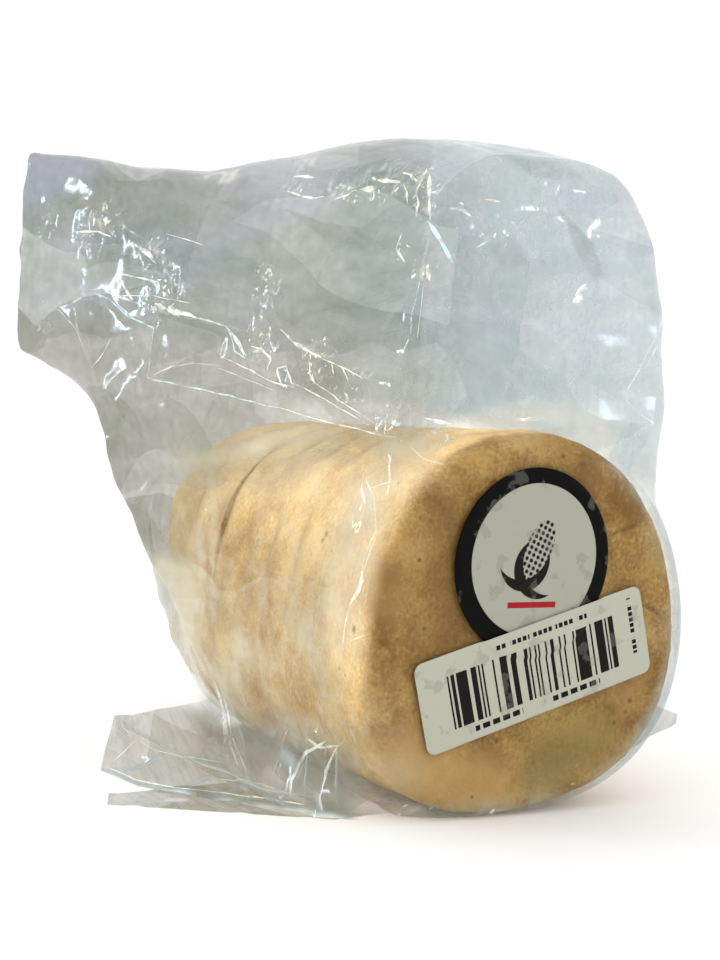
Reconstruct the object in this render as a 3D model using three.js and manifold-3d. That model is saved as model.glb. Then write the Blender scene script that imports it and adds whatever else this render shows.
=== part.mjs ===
// A clear film pack of eight arepas that lies on its side, with a round sticker and a bar label on
// its front. The cakes stand on edge in a row along Y, and the film is snug round them and puffed up
// loose above them, into a tail that leans back to the left. The bag is one solid of the pack's
// outer shape. Millimetres, +Z up, front towards -Y, origin on the floor under the middle of the row.
import * as THREE from 'three';
import Module from 'manifold-3d';

const wasm = await Module();
wasm.setup();

// The row of cakes.
const CAKE_COUNT = 8;
const CAKE_THICKNESS = 16;
const FRONT_CAKE_RADIUS = 55.2;
const BACK_CAKE_RADIUS = 51.5;
const FRONT_AXIS = { x: 0.8, z: 50.9 };
const BACK_AXIS = { x: 2, z: 47.3 };
const GROOVE_DEPTH = 1;
const RIM_LENGTH = 10;
const RIM_DROP = 7;
const BACK_SWELL_GAIN = 1.3;
const FRONT_Y = -CAKE_COUNT * CAKE_THICKNESS / 2;
const BACK_Y = -FRONT_Y;

// No cake is a true circle: each is a little three-sided and four-sided, turned by these angles.
const THREE_SIDED = { swell: 1.5, turn: THREE.MathUtils.degToRad(-18) };
const FOUR_SIDED = { swell: 1.2, turn: THREE.MathUtils.degToRad(140) };

// Film that meets the floor ahead of the cakes, low on the left of the front.
const SKIRT = { swell: 5, angle: THREE.MathUtils.degToRad(-128), spread: THREE.MathUtils.degToRad(16) };
const SKIRT_END_Y = 0;

// The loose film above the cakes, at stations along Y: its left and right walls, its lowest and
// highest film, and the height of the middle that its sections are drawn round.
const LOOSE_FILM = [
  { y: FRONT_Y, left: -41.5, right: 50, bottom: 10, middle: 75, top: 175 },
  { y: -20, left: -44, right: 39, bottom: 10, middle: 75, top: 183 },
  { y: 30, left: -51, right: 18, bottom: 10, middle: 73, top: 178.5 },
  { y: 62, left: -58, right: -2, bottom: 50, middle: 72, top: 174.5 },
  { y: 76, left: -63, right: -18, bottom: 79, middle: 84, top: 174 },
  { y: 92, left: -69, right: -38, bottom: 99, middle: 126, top: 174.5 },
  { y: 122, left: -77, right: -72, bottom: 114, middle: 146, top: 177 },
];
const SQUARENESS = 3.5;
// The film rises from the front rim over this length, and its rise eases out with this power.
const BROW_START_Y = FRONT_Y + 1;
const BROW_LENGTH = 12;
const BROW_POWER = 2.4;
// How softly the loose film joins the snug film, and where the snug film rounds off at the back.
const BLEND = 8;
const END_START_Y = BACK_Y - 4;
const END_LENGTH = 16;

// The flaps at the bag's bottom corners, each between a low and a high edge, and their thickness.
const LEFT_FLAP = {
  low: [[-30, -50, 8], [-50, -52, 0.5], [-78, -38, 3.5], [-97, -27, 6], [-105, -21, 9]],
  high: [[-28, 16, 30], [-52, 14, 19], [-78, -3, 21], [-95, -17, 22.5], [-103, -22, 24]],
  thickness: [0, 1.6, 1.4],
};
const FLOOR_FLAP = {
  low: [[-25, -50, 0], [-52, -53, 0], [-103, -22, 0]],
  high: [[-25, -10, 0], [-52, -8, 0], [-98, -12, 0]],
  thickness: [0, 0, 1.6],
};
const RIGHT_FLAP = {
  low: [[36, -46, 5], [66, -49, 19]],
  high: [[36, -54, 32], [66, -49.5, 22]],
  thickness: [0, 1.8, 0],
};

// The labels, thin and flat, each a small gap off what it covers.
const LABEL_GAP = 0.3;
const LABEL_THICKNESS = 0.5;
const STICKER = { radius: 25.4, x: -2.4, z: 69.5, sides: 72 };
const BAR_LABEL = { width: 76.2, height: 25.4, corner: 2.8, x: 1.4, z: 40.5 };
const BAR_LABEL_TILT = THREE.MathUtils.degToRad(15.7);

// How finely the bag is drawn: points round a section, and where along Y its sections lie. They are
// even along the row, and closer where the front rim, the back and the tail curve.
const SECTION_POINTS = 92;
const RIM_DEPTHS = [0, 0.2, 0.8, 1.8, 3.2, 5];
const ROW_INSET = 8;
const ROW_STEP = 4;
const BACK_STATIONS = [58, 60, 62, 64, 66.5, 69, 71.5, 73.5, 75, 75.8];
const TAIL_STATIONS = [77, 80, 85, 91, 98, 105, 112, 118, 122];
const FLAP_ROWS = 5;

const { clamp, lerp } = THREE.MathUtils;

// How far along the row of cakes y lies, from 0 at the front to 1 at the back.
function alongRow(y) {
  return clamp((y - FRONT_Y) / (BACK_Y - FRONT_Y), 0, 1);
}

// A smooth curve of y through one column of the loose film's stations.
function filmCurve(column, y) {
  const last = LOOSE_FILM.length - 1;
  const slope = (i) => {
    const before = LOOSE_FILM[Math.max(i - 1, 0)];
    const after = LOOSE_FILM[Math.min(i + 1, last)];
    return (after[column] - before[column]) / (after.y - before.y);
  };
  let i = 0;
  while (i < last - 1 && y >= LOOSE_FILM[i + 1].y) i += 1;
  const a = LOOSE_FILM[i];
  const b = LOOSE_FILM[i + 1];
  const width = b.y - a.y;
  const t = (y - a.y) / width;
  return (2 * t ** 3 - 3 * t ** 2 + 1) * a[column]
    + (t ** 3 - 2 * t ** 2 + t) * width * slope(i)
    + (3 * t ** 2 - 2 * t ** 3) * b[column]
    + (t ** 3 - t ** 2) * width * slope(i + 1);
}

// What the cakes' uneven outline, their grooves, the front rim and the skirt add to the radius.
function cakeRelief(y, angle) {
  const along = alongRow(y);
  const three = THREE_SIDED.swell * Math.cos(3 * (angle - THREE_SIDED.turn));
  const four = FOUR_SIDED.swell * Math.cos(4 * (angle - FOUR_SIDED.turn));
  const inRow = y > FRONT_Y + RIM_LENGTH / 2 && y < END_START_Y;
  const wave = 0.5 + 0.5 * Math.cos(2 * Math.PI * (y - FRONT_Y) / CAKE_THICKNESS);
  const groove = inRow ? GROOVE_DEPTH * wave ** 3 : 0;
  const rim = clamp((FRONT_Y + RIM_LENGTH - y) / RIM_LENGTH, 0, 1);
  const rimDrop = RIM_DROP * (1 - Math.sqrt(1 - rim * rim));
  const skirtFade = clamp((SKIRT_END_Y - y) / -FRONT_Y, 0, 1);
  const skirt = SKIRT.swell * skirtFade * Math.exp(-(((angle - SKIRT.angle) / SKIRT.spread) ** 2));
  return three + four * lerp(1, BACK_SWELL_GAIN, along) - groove - rimDrop + skirt * (1 - rim);
}

// The point that the section at y is drawn round.
function sectionMiddle(y) {
  return { x: (filmCurve('left', y) + filmCurve('right', y)) / 2, z: filmCurve('middle', y) };
}

// Distance from the section's middle to the film round the cakes, in one direction. Past the row it
// shrinks away, which rounds off the back of the pack.
function reachOfCakes(y, direction) {
  const middle = sectionMiddle(Math.min(y, END_START_Y));
  const along = alongRow(y);
  const radius = lerp(FRONT_CAKE_RADIUS, BACK_CAKE_RADIUS, along);
  const dx = middle.x - lerp(FRONT_AXIS.x, BACK_AXIS.x, along);
  const dz = middle.z - lerp(FRONT_AXIS.z, BACK_AXIS.z, along);
  const ex = Math.cos(direction);
  const ez = Math.sin(direction);
  const b = dx * ex + dz * ez;
  const onCircle = -b + Math.sqrt(b * b - dx * dx - dz * dz + radius * radius);
  const angle = Math.atan2(dz + onCircle * ez, dx + onCircle * ex);
  const reach = onCircle + cakeRelief(y, angle) * Math.cos(angle - direction);
  const end = clamp((y - END_START_Y) / END_LENGTH, 0, 1);
  return reach * Math.sqrt(1 - end * end);
}

// Distance from the section's middle to the loose film, in one direction.
function reachOfLooseFilm(y, direction) {
  const halfWidth = (filmCurve('right', y) - filmCurve('left', y)) / 2;
  const edge = Math.sin(direction) > 0 ? 'top' : 'bottom';
  const height = Math.abs(filmCurve(edge, y) - filmCurve('middle', y));
  const across = Math.abs(Math.cos(direction)) / halfWidth;
  const upright = Math.abs(Math.sin(direction)) / height;
  const brow = clamp((y - BROW_START_Y) / BROW_LENGTH, 0, 1);
  const growth = Math.sqrt(1 - (1 - brow) ** BROW_POWER);
  return growth / (across ** SQUARENESS + upright ** SQUARENESS) ** (1 / SQUARENESS);
}

// A point of the bag's skin: the further of the two reaches, softly joined, never under the floor.
function skinPoint(y, direction) {
  const middle = sectionMiddle(y);
  const cakes = reachOfCakes(y, direction);
  const loose = reachOfLooseFilm(y, direction);
  const share = clamp(0.5 + 0.5 * (cakes - loose) / BLEND, 0, 1);
  const reach = lerp(loose, cakes, share) + BLEND * share * (1 - share);
  const x = middle.x + reach * Math.cos(direction);
  const z = middle.z + reach * Math.sin(direction);
  return new THREE.Vector3(x, y, Math.max(z, 0));
}

function middleOf(ring) {
  const sum = new THREE.Vector3();
  ring.forEach((point) => sum.add(point));
  return sum.divideScalar(ring.length);
}

// A closed shell from rings of points, with a flat cap on its first and last ring.
function shellOfRings(rings) {
  const count = rings[0].length;
  const points = rings.flat();
  const startCap = points.push(middleOf(rings[0])) - 1;
  const endCap = points.push(middleOf(rings[rings.length - 1])) - 1;
  const lastRing = (rings.length - 1) * count;
  const triangles = [];
  for (let j = 0; j < count; j += 1) {
    const k = (j + 1) % count;
    triangles.push(startCap, j, k, endCap, lastRing + k, lastRing + j);
    for (let start = 0; start < lastRing; start += count) {
      const [a, b, c, d] = [start + j, start + k, start + count + k, start + count + j];
      triangles.push(a, d, b, b, d, c);
    }
  }
  const geometry = new THREE.BufferGeometry().setFromPoints(points);
  geometry.setIndex(triangles);
  return geometry;
}

function bagBody() {
  const rim = RIM_DEPTHS.map((depth) => FRONT_Y + depth);
  const rowSteps = (BACK_Y - FRONT_Y - 2 * ROW_INSET) / ROW_STEP;
  const row = Array.from({ length: rowSteps + 1 }, (_, i) => FRONT_Y + ROW_INSET + i * ROW_STEP);
  const rings = [...rim, ...row, ...BACK_STATIONS, ...TAIL_STATIONS].map((y) => Array.from(
    { length: SECTION_POINTS },
    (_, i) => skinPoint(y, 2 * Math.PI * i / SECTION_POINTS),
  ));
  return shellOfRings(rings);
}

// A thin plate ruled from its low edge to its high edge, thickened along one direction.
function flap({ low, high, thickness }) {
  const offset = new THREE.Vector3(...thickness);
  const rings = low.map((lowPoint, i) => {
    const from = new THREE.Vector3(...lowPoint);
    const to = new THREE.Vector3(...high[i]);
    const face = Array.from({ length: FLAP_ROWS + 1 }, (_, row) => from.clone().lerp(to, row / FLAP_ROWS));
    const back = face.map((point) => point.clone().add(offset)).reverse();
    return [...face, ...back];
  });
  return shellOfRings(rings);
}

function toSolid(geometry) {
  const vertProperties = Float32Array.from(geometry.attributes.position.array);
  const triVerts = Uint32Array.from(geometry.index.array);
  return new wasm.Manifold(new wasm.Mesh({ numProp: 3, vertProperties, triVerts }));
}

function toGeometry(solid) {
  const { vertProperties, triVerts } = solid.getMesh();
  const geometry = new THREE.BufferGeometry();
  geometry.setAttribute('position', new THREE.BufferAttribute(vertProperties, 3));
  geometry.setIndex(new THREE.BufferAttribute(triVerts, 1));
  geometry.computeVertexNormals();
  return geometry;
}

// A plain, unmetallic material of one colour.
function finish(color, roughness) {
  return new THREE.MeshStandardMaterial({ color, roughness, metalness: 0 });
}

function bag() {
  const flaps = [LEFT_FLAP, FLOOR_FLAP, RIGHT_FLAP].map((shape) => toSolid(flap(shape)));
  const solid = flaps.reduce((whole, piece) => whole.add(piece), toSolid(bagBody()));
  const mesh = new THREE.Mesh(toGeometry(solid), finish('#c3bfae', 0.2));
  mesh.name = 'bag';
  return mesh;
}

function roundSticker() {
  const { radius, sides } = STICKER;
  const disc = new THREE.CylinderGeometry(radius, radius, LABEL_THICKNESS, sides);
  const mesh = new THREE.Mesh(disc, finish('#1a1a1c', 0.35));
  mesh.name = 'round_sticker';
  mesh.position.set(STICKER.x, FRONT_Y - LABEL_GAP - LABEL_THICKNESS / 2, STICKER.z);
  return mesh;
}

function barLabel() {
  const { width, height, corner } = BAR_LABEL;
  const outline = new THREE.Shape();
  const right = width / 2 - corner;
  const top = height / 2 - corner;
  outline.absarc(right, top, corner, 0, Math.PI / 2);
  outline.absarc(-right, top, corner, Math.PI / 2, Math.PI);
  outline.absarc(-right, -top, corner, Math.PI, 1.5 * Math.PI);
  outline.absarc(right, -top, corner, 1.5 * Math.PI, 2 * Math.PI);
  outline.closePath();
  const plate = new THREE.ExtrudeGeometry(outline, { depth: LABEL_THICKNESS, bevelEnabled: false });
  const mesh = new THREE.Mesh(plate, finish('#d6d6d0', 0.5));
  mesh.name = 'bar_label';
  mesh.rotation.x = Math.PI / 2;
  const turn = new THREE.Group();
  turn.add(mesh);
  turn.rotation.y = -BAR_LABEL_TILT;
  turn.position.set(BAR_LABEL.x, FRONT_Y - 2 * LABEL_GAP - LABEL_THICKNESS, BAR_LABEL.z);
  return turn;
}

const pack = new THREE.Group();
pack.add(bag(), roundSticker(), barLabel());

export default pack;
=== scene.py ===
"""A clear film pack of eight arepas that lies on its side, with a round sticker and a bar label.

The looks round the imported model: the film, the cakes that it holds and the labels on its front.
Shapes are worked out in millimetres, as the part's source has them, and meshes are in metres.
"""

import itertools
import math

import bpy
import numpy as np
from mathutils import Matrix, Vector
from mathutils.bvhtree import BVHTree


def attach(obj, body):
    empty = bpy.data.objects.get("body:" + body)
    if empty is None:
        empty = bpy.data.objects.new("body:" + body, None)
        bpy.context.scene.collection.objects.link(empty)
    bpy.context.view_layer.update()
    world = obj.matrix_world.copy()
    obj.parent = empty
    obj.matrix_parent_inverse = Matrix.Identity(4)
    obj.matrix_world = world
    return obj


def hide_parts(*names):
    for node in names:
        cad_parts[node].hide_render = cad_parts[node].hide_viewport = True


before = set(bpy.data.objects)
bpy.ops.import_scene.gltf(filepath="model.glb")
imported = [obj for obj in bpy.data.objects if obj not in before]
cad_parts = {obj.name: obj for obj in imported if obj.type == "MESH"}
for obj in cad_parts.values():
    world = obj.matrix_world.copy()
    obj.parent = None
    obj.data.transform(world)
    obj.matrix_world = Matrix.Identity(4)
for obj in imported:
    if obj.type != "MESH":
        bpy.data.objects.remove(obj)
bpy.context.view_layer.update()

MM = 0.001

# The row of cakes, which stand on edge along Y.
CAKE_COUNT = 8
CAKE_THICKNESS = 16.0
FRONT_CAKE_RADIUS = 55.2
BACK_CAKE_RADIUS = 51.5
FRONT_AXIS = (0.8, 50.9)
BACK_AXIS = (2.0, 47.3)
FRONT_Y = -CAKE_COUNT * CAKE_THICKNESS / 2
BACK_Y = -FRONT_Y
RIM_LENGTH = 10.0
RIM_DROP = 7.0
GROOVE_DEPTH = 1.0
# A cake is a little three-sided and four-sided: how much, and which way. The last ones are so by more.
THREE_SIDED = (1.5, math.radians(-18))
FOUR_SIDED = (1.2, math.radians(140))
BACK_SWELL_GAIN = 1.3
# How far, which way and over which stretch of Y the last cakes are tucked in, and how they lean out.
TUCK = 7.5
TUCK_ANGLE = math.radians(-155)
TUCK_STRETCH = (28, 62)
TUCK_SHARPNESS = 5
LEAN = 5.5
LEAN_ANGLE = math.radians(155)
LEAN_STRETCH = (16, 56)
LEAN_SHARPNESS = 6
# How far, which way and how widely the film bulges out low on the left, where the skirt leaves it.
SKIRT_SWELL = 5.0
SKIRT_ANGLE = math.radians(-128)
SKIRT_SPREAD = math.radians(16)

# The loose film above the cakes at stations along Y: left and right walls, lowest and highest film,
# and the height of the middle that its sections are drawn round.
LOOSE_FILM = {
    "y": (FRONT_Y, -20, 30, 62, 76, 92, 122),
    "left": (-41.5, -44, -51, -58, -63, -69, -77),
    "right": (50, 39, 18, -2, -18, -38, -72),
    "bottom": (10, 10, 10, 50, 79, 99, 114),
    "middle": (75, 75, 73, 72, 84, 126, 146),
    "top": (175, 183, 178.5, 174.5, 174, 174.5, 177),
}
SQUARENESS = 3.5
BROW_START_Y = FRONT_Y + 1
BROW_LENGTH = 12.0
BROW_POWER = 2.4
BLEND = 8.0
END_START_Y = BACK_Y - 4
END_LENGTH = 16.0
TAIL_Y = 122.0

# The flattened bottom corners of the bag, each between a low and a high edge.
LEFT_FLAP = {
    "low": ((-30, -50, 8), (-50, -52, 0.5), (-78, -38, 3.5), (-97, -27, 6), (-105, -21, 9)),
    "high": ((-28, 16, 30), (-52, 14, 19), (-78, -3, 21), (-95, -17, 22.5), (-103, -22, 24)),
}
FLOOR_FLAP = {
    "low": ((-25, -50, 0), (-52, -53, 0), (-103, -22, 0)),
    "high": ((-25, -10, 0), (-52, -8, 0), (-98, -12, 0)),
}
RIGHT_FLAP = {
    "low": ((36, -46, 5), (66, -49, 19)),
    "high": ((36, -54, 32), (66, -49.5, 22)),
}
# The film that hangs from the row's left side down to the bottom corner, and its pleats (along, up).
SKIRT = {
    "low": ((-63, 12, 1.5), (-62, -8, 0.8), (-61, -19, 0.6), (-59.5, -36, 0.5), (-56.6, -50.4, 0.5),
            (-46, -57, 0.5)),
    "high": ((-47.5, 36, 28), (-48, 12, 28), (-48, -14, 28), (-49, -38, 28), (-46, -57, 26)),
}
SKIRT_PLEATS = (
    (2.4, 1.6, 3.5, 0.2, ((14, 18), (27, 11), (37, 4), (40, 0))),
    (-1.6, 2.5, 2.5, 0.0, ((20, 18), (34, 9), (46, 1))),
    (1.8, 1.5, 2.5, 0.2, ((60, 17), (62, 9), (62, 0))),
    (1.8, 1.5, 2.5, 0.2, ((71, 17), (72, 9), (73, 0))),
    (-1.4, 2.5, 2.5, 0.0, ((66, 17), (67, 8), (67, 1))),
    (1.2, 1.5, 2.5, 0.1, ((48, 16), (51, 8), (50, 1))),
    (1.0, 1.5, 2.5, 0.1, ((4, 16), (14, 8), (26, 1))),
)
FLAP_LENGTH = 80.0
FLAP_HEIGHT = 20.0
FLAP_CREASES = (
    (0.9, 1.5, 1.5, 0.5, ((78, 19), (58, 11), (34, 4), (14, 2))),
    (0.8, 1.5, 1.5, 0.4, ((79, 1), (58, 11))),
)
FACE_HAZE = 0.02
# Milky smears on the flat front: the middle (x, y, z), the spread and the strength.
FACE_SMEARS = (
    ((20, -64, 101), 8, 0.08), ((43, -64, 78), 8, 0.12), ((-42, -64, 95), 10, 0.12), ((8, -64, 4), 9, 0.08),
    ((-50, -64, 30), 10, 0.1), ((47, -64, 50), 6, 0.1), ((-10, -64, 106), 8, 0.1),
    ((-40, -60, 12), 8, 0.2),
)

# Creases in the film: how high each stands, how far it fades to either side, how strongly its crest is
# painted with a highlight and the points that it runs through. On the left wall a point is (y, z) and on the
# front wall (x, z).
LEFT_CREASES = (
    (1.6, 1.4, 7.0, 1.0, ((84, 133), (79, 132), (71, 127), (59, 124), (61, 115), (62, 109))),
    (1.6, 1.4, 7.0, 1.0, ((62, 109), (43, 107.5), (26, 106.5), (-3, 104.5), (-19, 103), (-43, 101.5),
                          (-52, 101))),
    (1.5, 1.4, 6.0, 1.0, ((62, 130), (50, 128), (27, 126.5), (13, 124.5))),
    (1.8, 5.0, 1.6, 0.9, ((0, 126.5), (-10, 122), (-20, 120), (-37, 116), (-53, 114))),
    (1.0, 3.0, 1.5, 0.3, ((56, 110.5), (47, 115), (29, 118), (27, 126.5))),
    (1.2, 1.5, 4.0, 0.8, ((47, 115), (35, 114), (19, 113.5), (-2, 110.5), (-20, 108.5), (-38, 106))),
    (1.0, 2.0, 2.0, 0.9, ((13, 124.5), (8, 120), (21, 119), (-1, 114.5), (-4, 110.5))),
    (0.8, 1.5, 1.5, 1.0, ((-3, 115), (-1, 110.5), (-7, 111))),
    (1.1, 2.0, 3.0, 0.8, ((-15, 120), (-18, 115), (-26, 111), (-36, 108))),
    (0.8, 5.0, 2.5, 0.25, ((104, 157), (82, 161), (53, 163), (18, 164))),
    (0.9, 3.0, 6.0, 0.2, ((112, 146), (85, 143), (63, 142), (32, 145))),
    (0.8, 6.0, 3.0, 0.15, ((53, 137), (24, 136.5), (-4, 135), (-32, 131))),
    (1.4, 2.0, 3.5, 0.7, ((88, 157), (78, 154), (71, 151), (64, 147), (58, 142), (54, 136.5), (61, 132.5),
                          (64, 131))),
    (1.2, 1.6, 2.4, 0.6, ((93, 128), (88, 119), (84, 111), (81, 104))),
    (0.9, 2.0, 2.0, 0.4, ((101, 129), (95, 125), (89, 121.5))),
    (1.2, 2.5, 2.5, 0.7, ((112, 123), (106, 126.5), (98, 129), (84, 133))),
    (0.9, 2.0, 2.0, 0.5, ((74, 110), (78, 105.5), (79, 102))),
)
SIDE_CREASES = (
    (0.8, 1.0, 1.6, 0.9, ((-43, 89.5), (-49, 82.5), (-57, 76), (-57, 69), (-56, 61.5), (-54, 56),
                          (-52, 46.5))),
    (0.5, 1.0, 1.6, 0.6, ((-43, 89.5), (-43, 80), (-45, 76), (-48, 82))),
    (0.6, 1.4, 1.4, 0.35, ((22.5, 23), (14, 12), (9, 6))),
    (0.6, 1.4, 1.4, 0.35, ((14, 22.5), (10, 13), (6, 8))),
    (0.6, 1.2, 1.2, 0.4, ((-7, 13.5), (-21, 13), (-33, 13))),
    (0.6, 1.2, 1.2, 0.4, ((-31, 12.5), (-38, 4))),
)
FRONT_CREASES = (
    (1.4, 2.0, 6.0, 0.8, ((-26, 175), (-31, 166), (-35, 157), (-33, 152), (-31, 148))),
    (1.0, 3.0, 3.0, 0.1, ((-35, 156), (-37, 145), (-36, 132), (-35, 121.5))),
    (0.8, 4.0, 4.0, 0.1, ((-37, 127), (-30, 124), (-22, 119), (-14, 115))),
    (0.8, 5.0, 4.0, 0.1, ((-33, 137), (-22, 133), (-10, 126), (4, 113))),
    (0.6, 4.0, 3.0, 0.25, ((-28, 138.5), (-20, 141), (-8, 141))),
    (0.6, 3.0, 3.0, 0.2, ((-20, 148), (-14, 149), (-9, 149.5))),
    (1.0, 2.0, 7.0, 0.1, ((2, 163), (8, 157), (13, 150.5), (16, 143), (18, 135))),
    (0.8, 6.0, 2.0, 0.0, ((12, 159), (17, 155), (19, 147), (18, 140.5))),
    (0.8, 3.0, 5.0, 0.1, ((-14, 177), (-5, 175), (7, 175), (12, 172), (16, 168))),
    (1.5, 1.2, 3.0, 1.0, ((42, 138.5), (35, 130), (30, 122.5), (26, 117))),
    (0.9, 3.0, 4.0, 0.1, ((34, 155), (31, 148), (28, 141))),
    (0.9, 4.0, 3.0, 0.2, ((17, 128), (23, 119), (28, 111))),
)
# Flat facets of the film with painted shade, darker than their neighbours, and with a painted sheen, lighter,
# where the amount is below 0: how much, and their corners in order.
LEFT_FACETS = (
    (0.7, ((61, 111), (47, 115), (29, 118), (27, 126.5), (60, 129))),
    (0.45, ((-4, 110.5), (-38, 106), (-30, 117), (-12, 122), (-1, 126))),
    (0.25, ((60, 109), (45, 114.5), (-2, 110), (-36, 106), (-50, 101.5))),
    (0.3, ((58, 143), (28, 141), (-2, 136), (22, 146), (50, 150))),
    (-0.35, ((60, 132), (24, 137), (0, 133), (14, 127), (50, 130))),
    (0.3, ((-12, 166), (-34, 164), (-40, 148), (-22, 142))),
    (-0.3, ((100, 150), (70, 156), (60, 166), (90, 168))),
    (-0.6, ((17, 162), (8.5, 162), (-14, 145.5), (-6, 137.5), (9, 137.5))),
    (0.35, ((-9, 157), (-39, 153), (-41, 137.5), (-19, 142))),
)
FRONT_FACETS = (
    (0.5, ((1, 164.5), (7.5, 152), (14, 144), (17, 148), (13, 156))),
    (0.4, ((-14, 177), (4, 178), (13, 172), (-5, 171))),
    (0.25, ((-22, 154), (-13, 155.5), (-7, 148.5), (-17, 147))),
    (-0.3, ((27, 116), (43, 139), (47, 120), (40, 108))),
)
# Where the film was crushed into small facets, bumpy and with painted glints: the middle (x, y, z), the
# spread and the strength.
CRUSHED_SPOTS = (
    ((-66, 87, 154), 7, 1), ((-57, 64, 147), 6, 1), ((-56, 58, 134), 7, 1), ((-48, 12, 139), 6, 1),
    ((-47, 12, 122), 7, 0.6), ((-45, -15, 118), 7, 0.8), ((-44, -35, 111), 7, 0.8),
    ((-38, 12, 168), 5, 1), ((-37, -4, 167), 4, 1), ((-36, -15, 166), 5, 1), ((-33, -25, 169), 6, 1.3),
    ((-33, -33, 167), 5, 1.2), ((-30, -41, 170), 3, 1.6), ((-32, -46, 165), 3.5, 1.6),
    ((-34, -51, 159), 3, 1.6), ((-30, -54, 161), 3, 1), ((-27, -56, 160), 3.5, 1.3),
    ((-22, -58, 153), 2.5, 0.9), ((-37, -45, 149), 3, 1), ((-36, -54, 144), 3, 1.2),
    ((-50, 31, 72), 3, 0.5), ((-48, -6, 76), 3, 0.5),
    ((-74, 108, 124), 6, 0.5), ((-73, 110, 152), 6, 0.6), ((16, -59, 143), 3, 1), ((-18, -58, 155), 4, 0.8),
    ((-40, -53, 105), 6, 0.7), ((-30, -60, 104), 4, 0.8), ((17, -63, 8), 4, 0.9), ((22, -63, 6), 4, 0.8),
)
# Places where the film has painted shade (lighter where the strength is below 0), where it is clearer and,
# over the cakes' left side, where it is milkier.
PAINTED_SHADE_SPOTS = (
    ((-40, -10, 158), 12, 0.4), ((-44, -24, 116), 12, 0.25), ((-37, -18, 170), 12, 0.5),
    ((-55, 60, 143), 26, 0.4), ((-50, 20, 150), 18, 0.3), ((-38, -17, 147), 9, -0.7),
    ((-62, 78, 144), 12, 0.55), ((-55, 52, 103), 10, -0.35), ((-64, -4, 14), 8, 2.2),
    ((-12, -60, 145), 12, 0.3), ((-20, -60, 125), 16, 0.2), ((34, -56, 150), 22, -0.2),
)
CLEAR_SPOTS = (((-55, 50, 102), 16, 0.09), ((-70, 97, 153), 13, 0.09))
PALE_SPOTS = (
    ((-51, 34, 42), 9, 0.3), ((-51, -29, 45), 6, 0.35), ((-50, -22, 63), 9, 0.2), ((-50, 2, 57), 6, 0.15),
    ((-50, 10, 36), 8, 0.25), ((-46, 18, 24), 9, 0.3), ((-48, -47, 84), 10, 0.35), ((-50, -49, 71), 11, 0.45),
    ((-42, -8, 14), 14, 0.2), ((-54, 46, 72), 8, 0.2), ((-46, -10, 92), 12, 0.1), ((-48, 46, 40), 12, 0.2),
    ((-52, 30, 52), 10, 0.3), ((-41, -55, 99), 7, 0.35), ((-33, -59, 98), 7, 0.3), ((-51, -44, 58), 9, 0.3),
    ((-52, -42, 46), 7, 0.25),
    ((-53, 50, 50), 10, 0.45), ((-49, 48, 38), 11, 0.45), ((-50, 37, 46), 8, 0.35), ((-47, 40, 28), 10, 0.3),
    ((-45, 60, 34), 10, 0.5), ((-42, 58, 24), 9, 0.4), ((-46, 22, 20), 9, 0.3), ((-48, -6, 30), 8, 0.15),
    ((-44, 20, 92), 14, 0.2), ((-46, 44, 88), 12, 0.25), ((-40, -20, 97), 12, 0.2), ((-34, 4, 102), 12, 0.25),
    ((-30, -40, 102), 9, 0.2),
)
# Bands where the film is doubled over the cakes' left side: how milky each is, and the points (y, z) that
# it runs through.
VEIL_WIDTH = 3.2
SIDE_VEILS = (
    (0.5, ((36, 86), (33, 66), (31, 46), (34, 30))),
    (0.5, ((-42, 92), (-47, 84), (-52, 77), (-52, 68), (-52, 60), (-49, 50))),
    (0.35, ((10, 90), (4, 70), (6, 58))),
    (0.3, ((-20, 60), (-30, 48), (-34, 36))),
    (0.45, ((30, 92), (27, 70), (23, 47), (23, 20))),
    (0.4, ((52, 84), (36, 86), (22, 89), (9, 93), (-8, 97), (-30, 100))),
    (0.4, ((24, 41), (2, 35), (-10, 34))),
    (0.3, ((-46, 41), (-54, 36), (-56, 24))),
    (0.3, ((44, 60), (43, 52), (42, 44))),
    (0.25, ((56, 90), (40, 86), (30, 80))),
)
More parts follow.
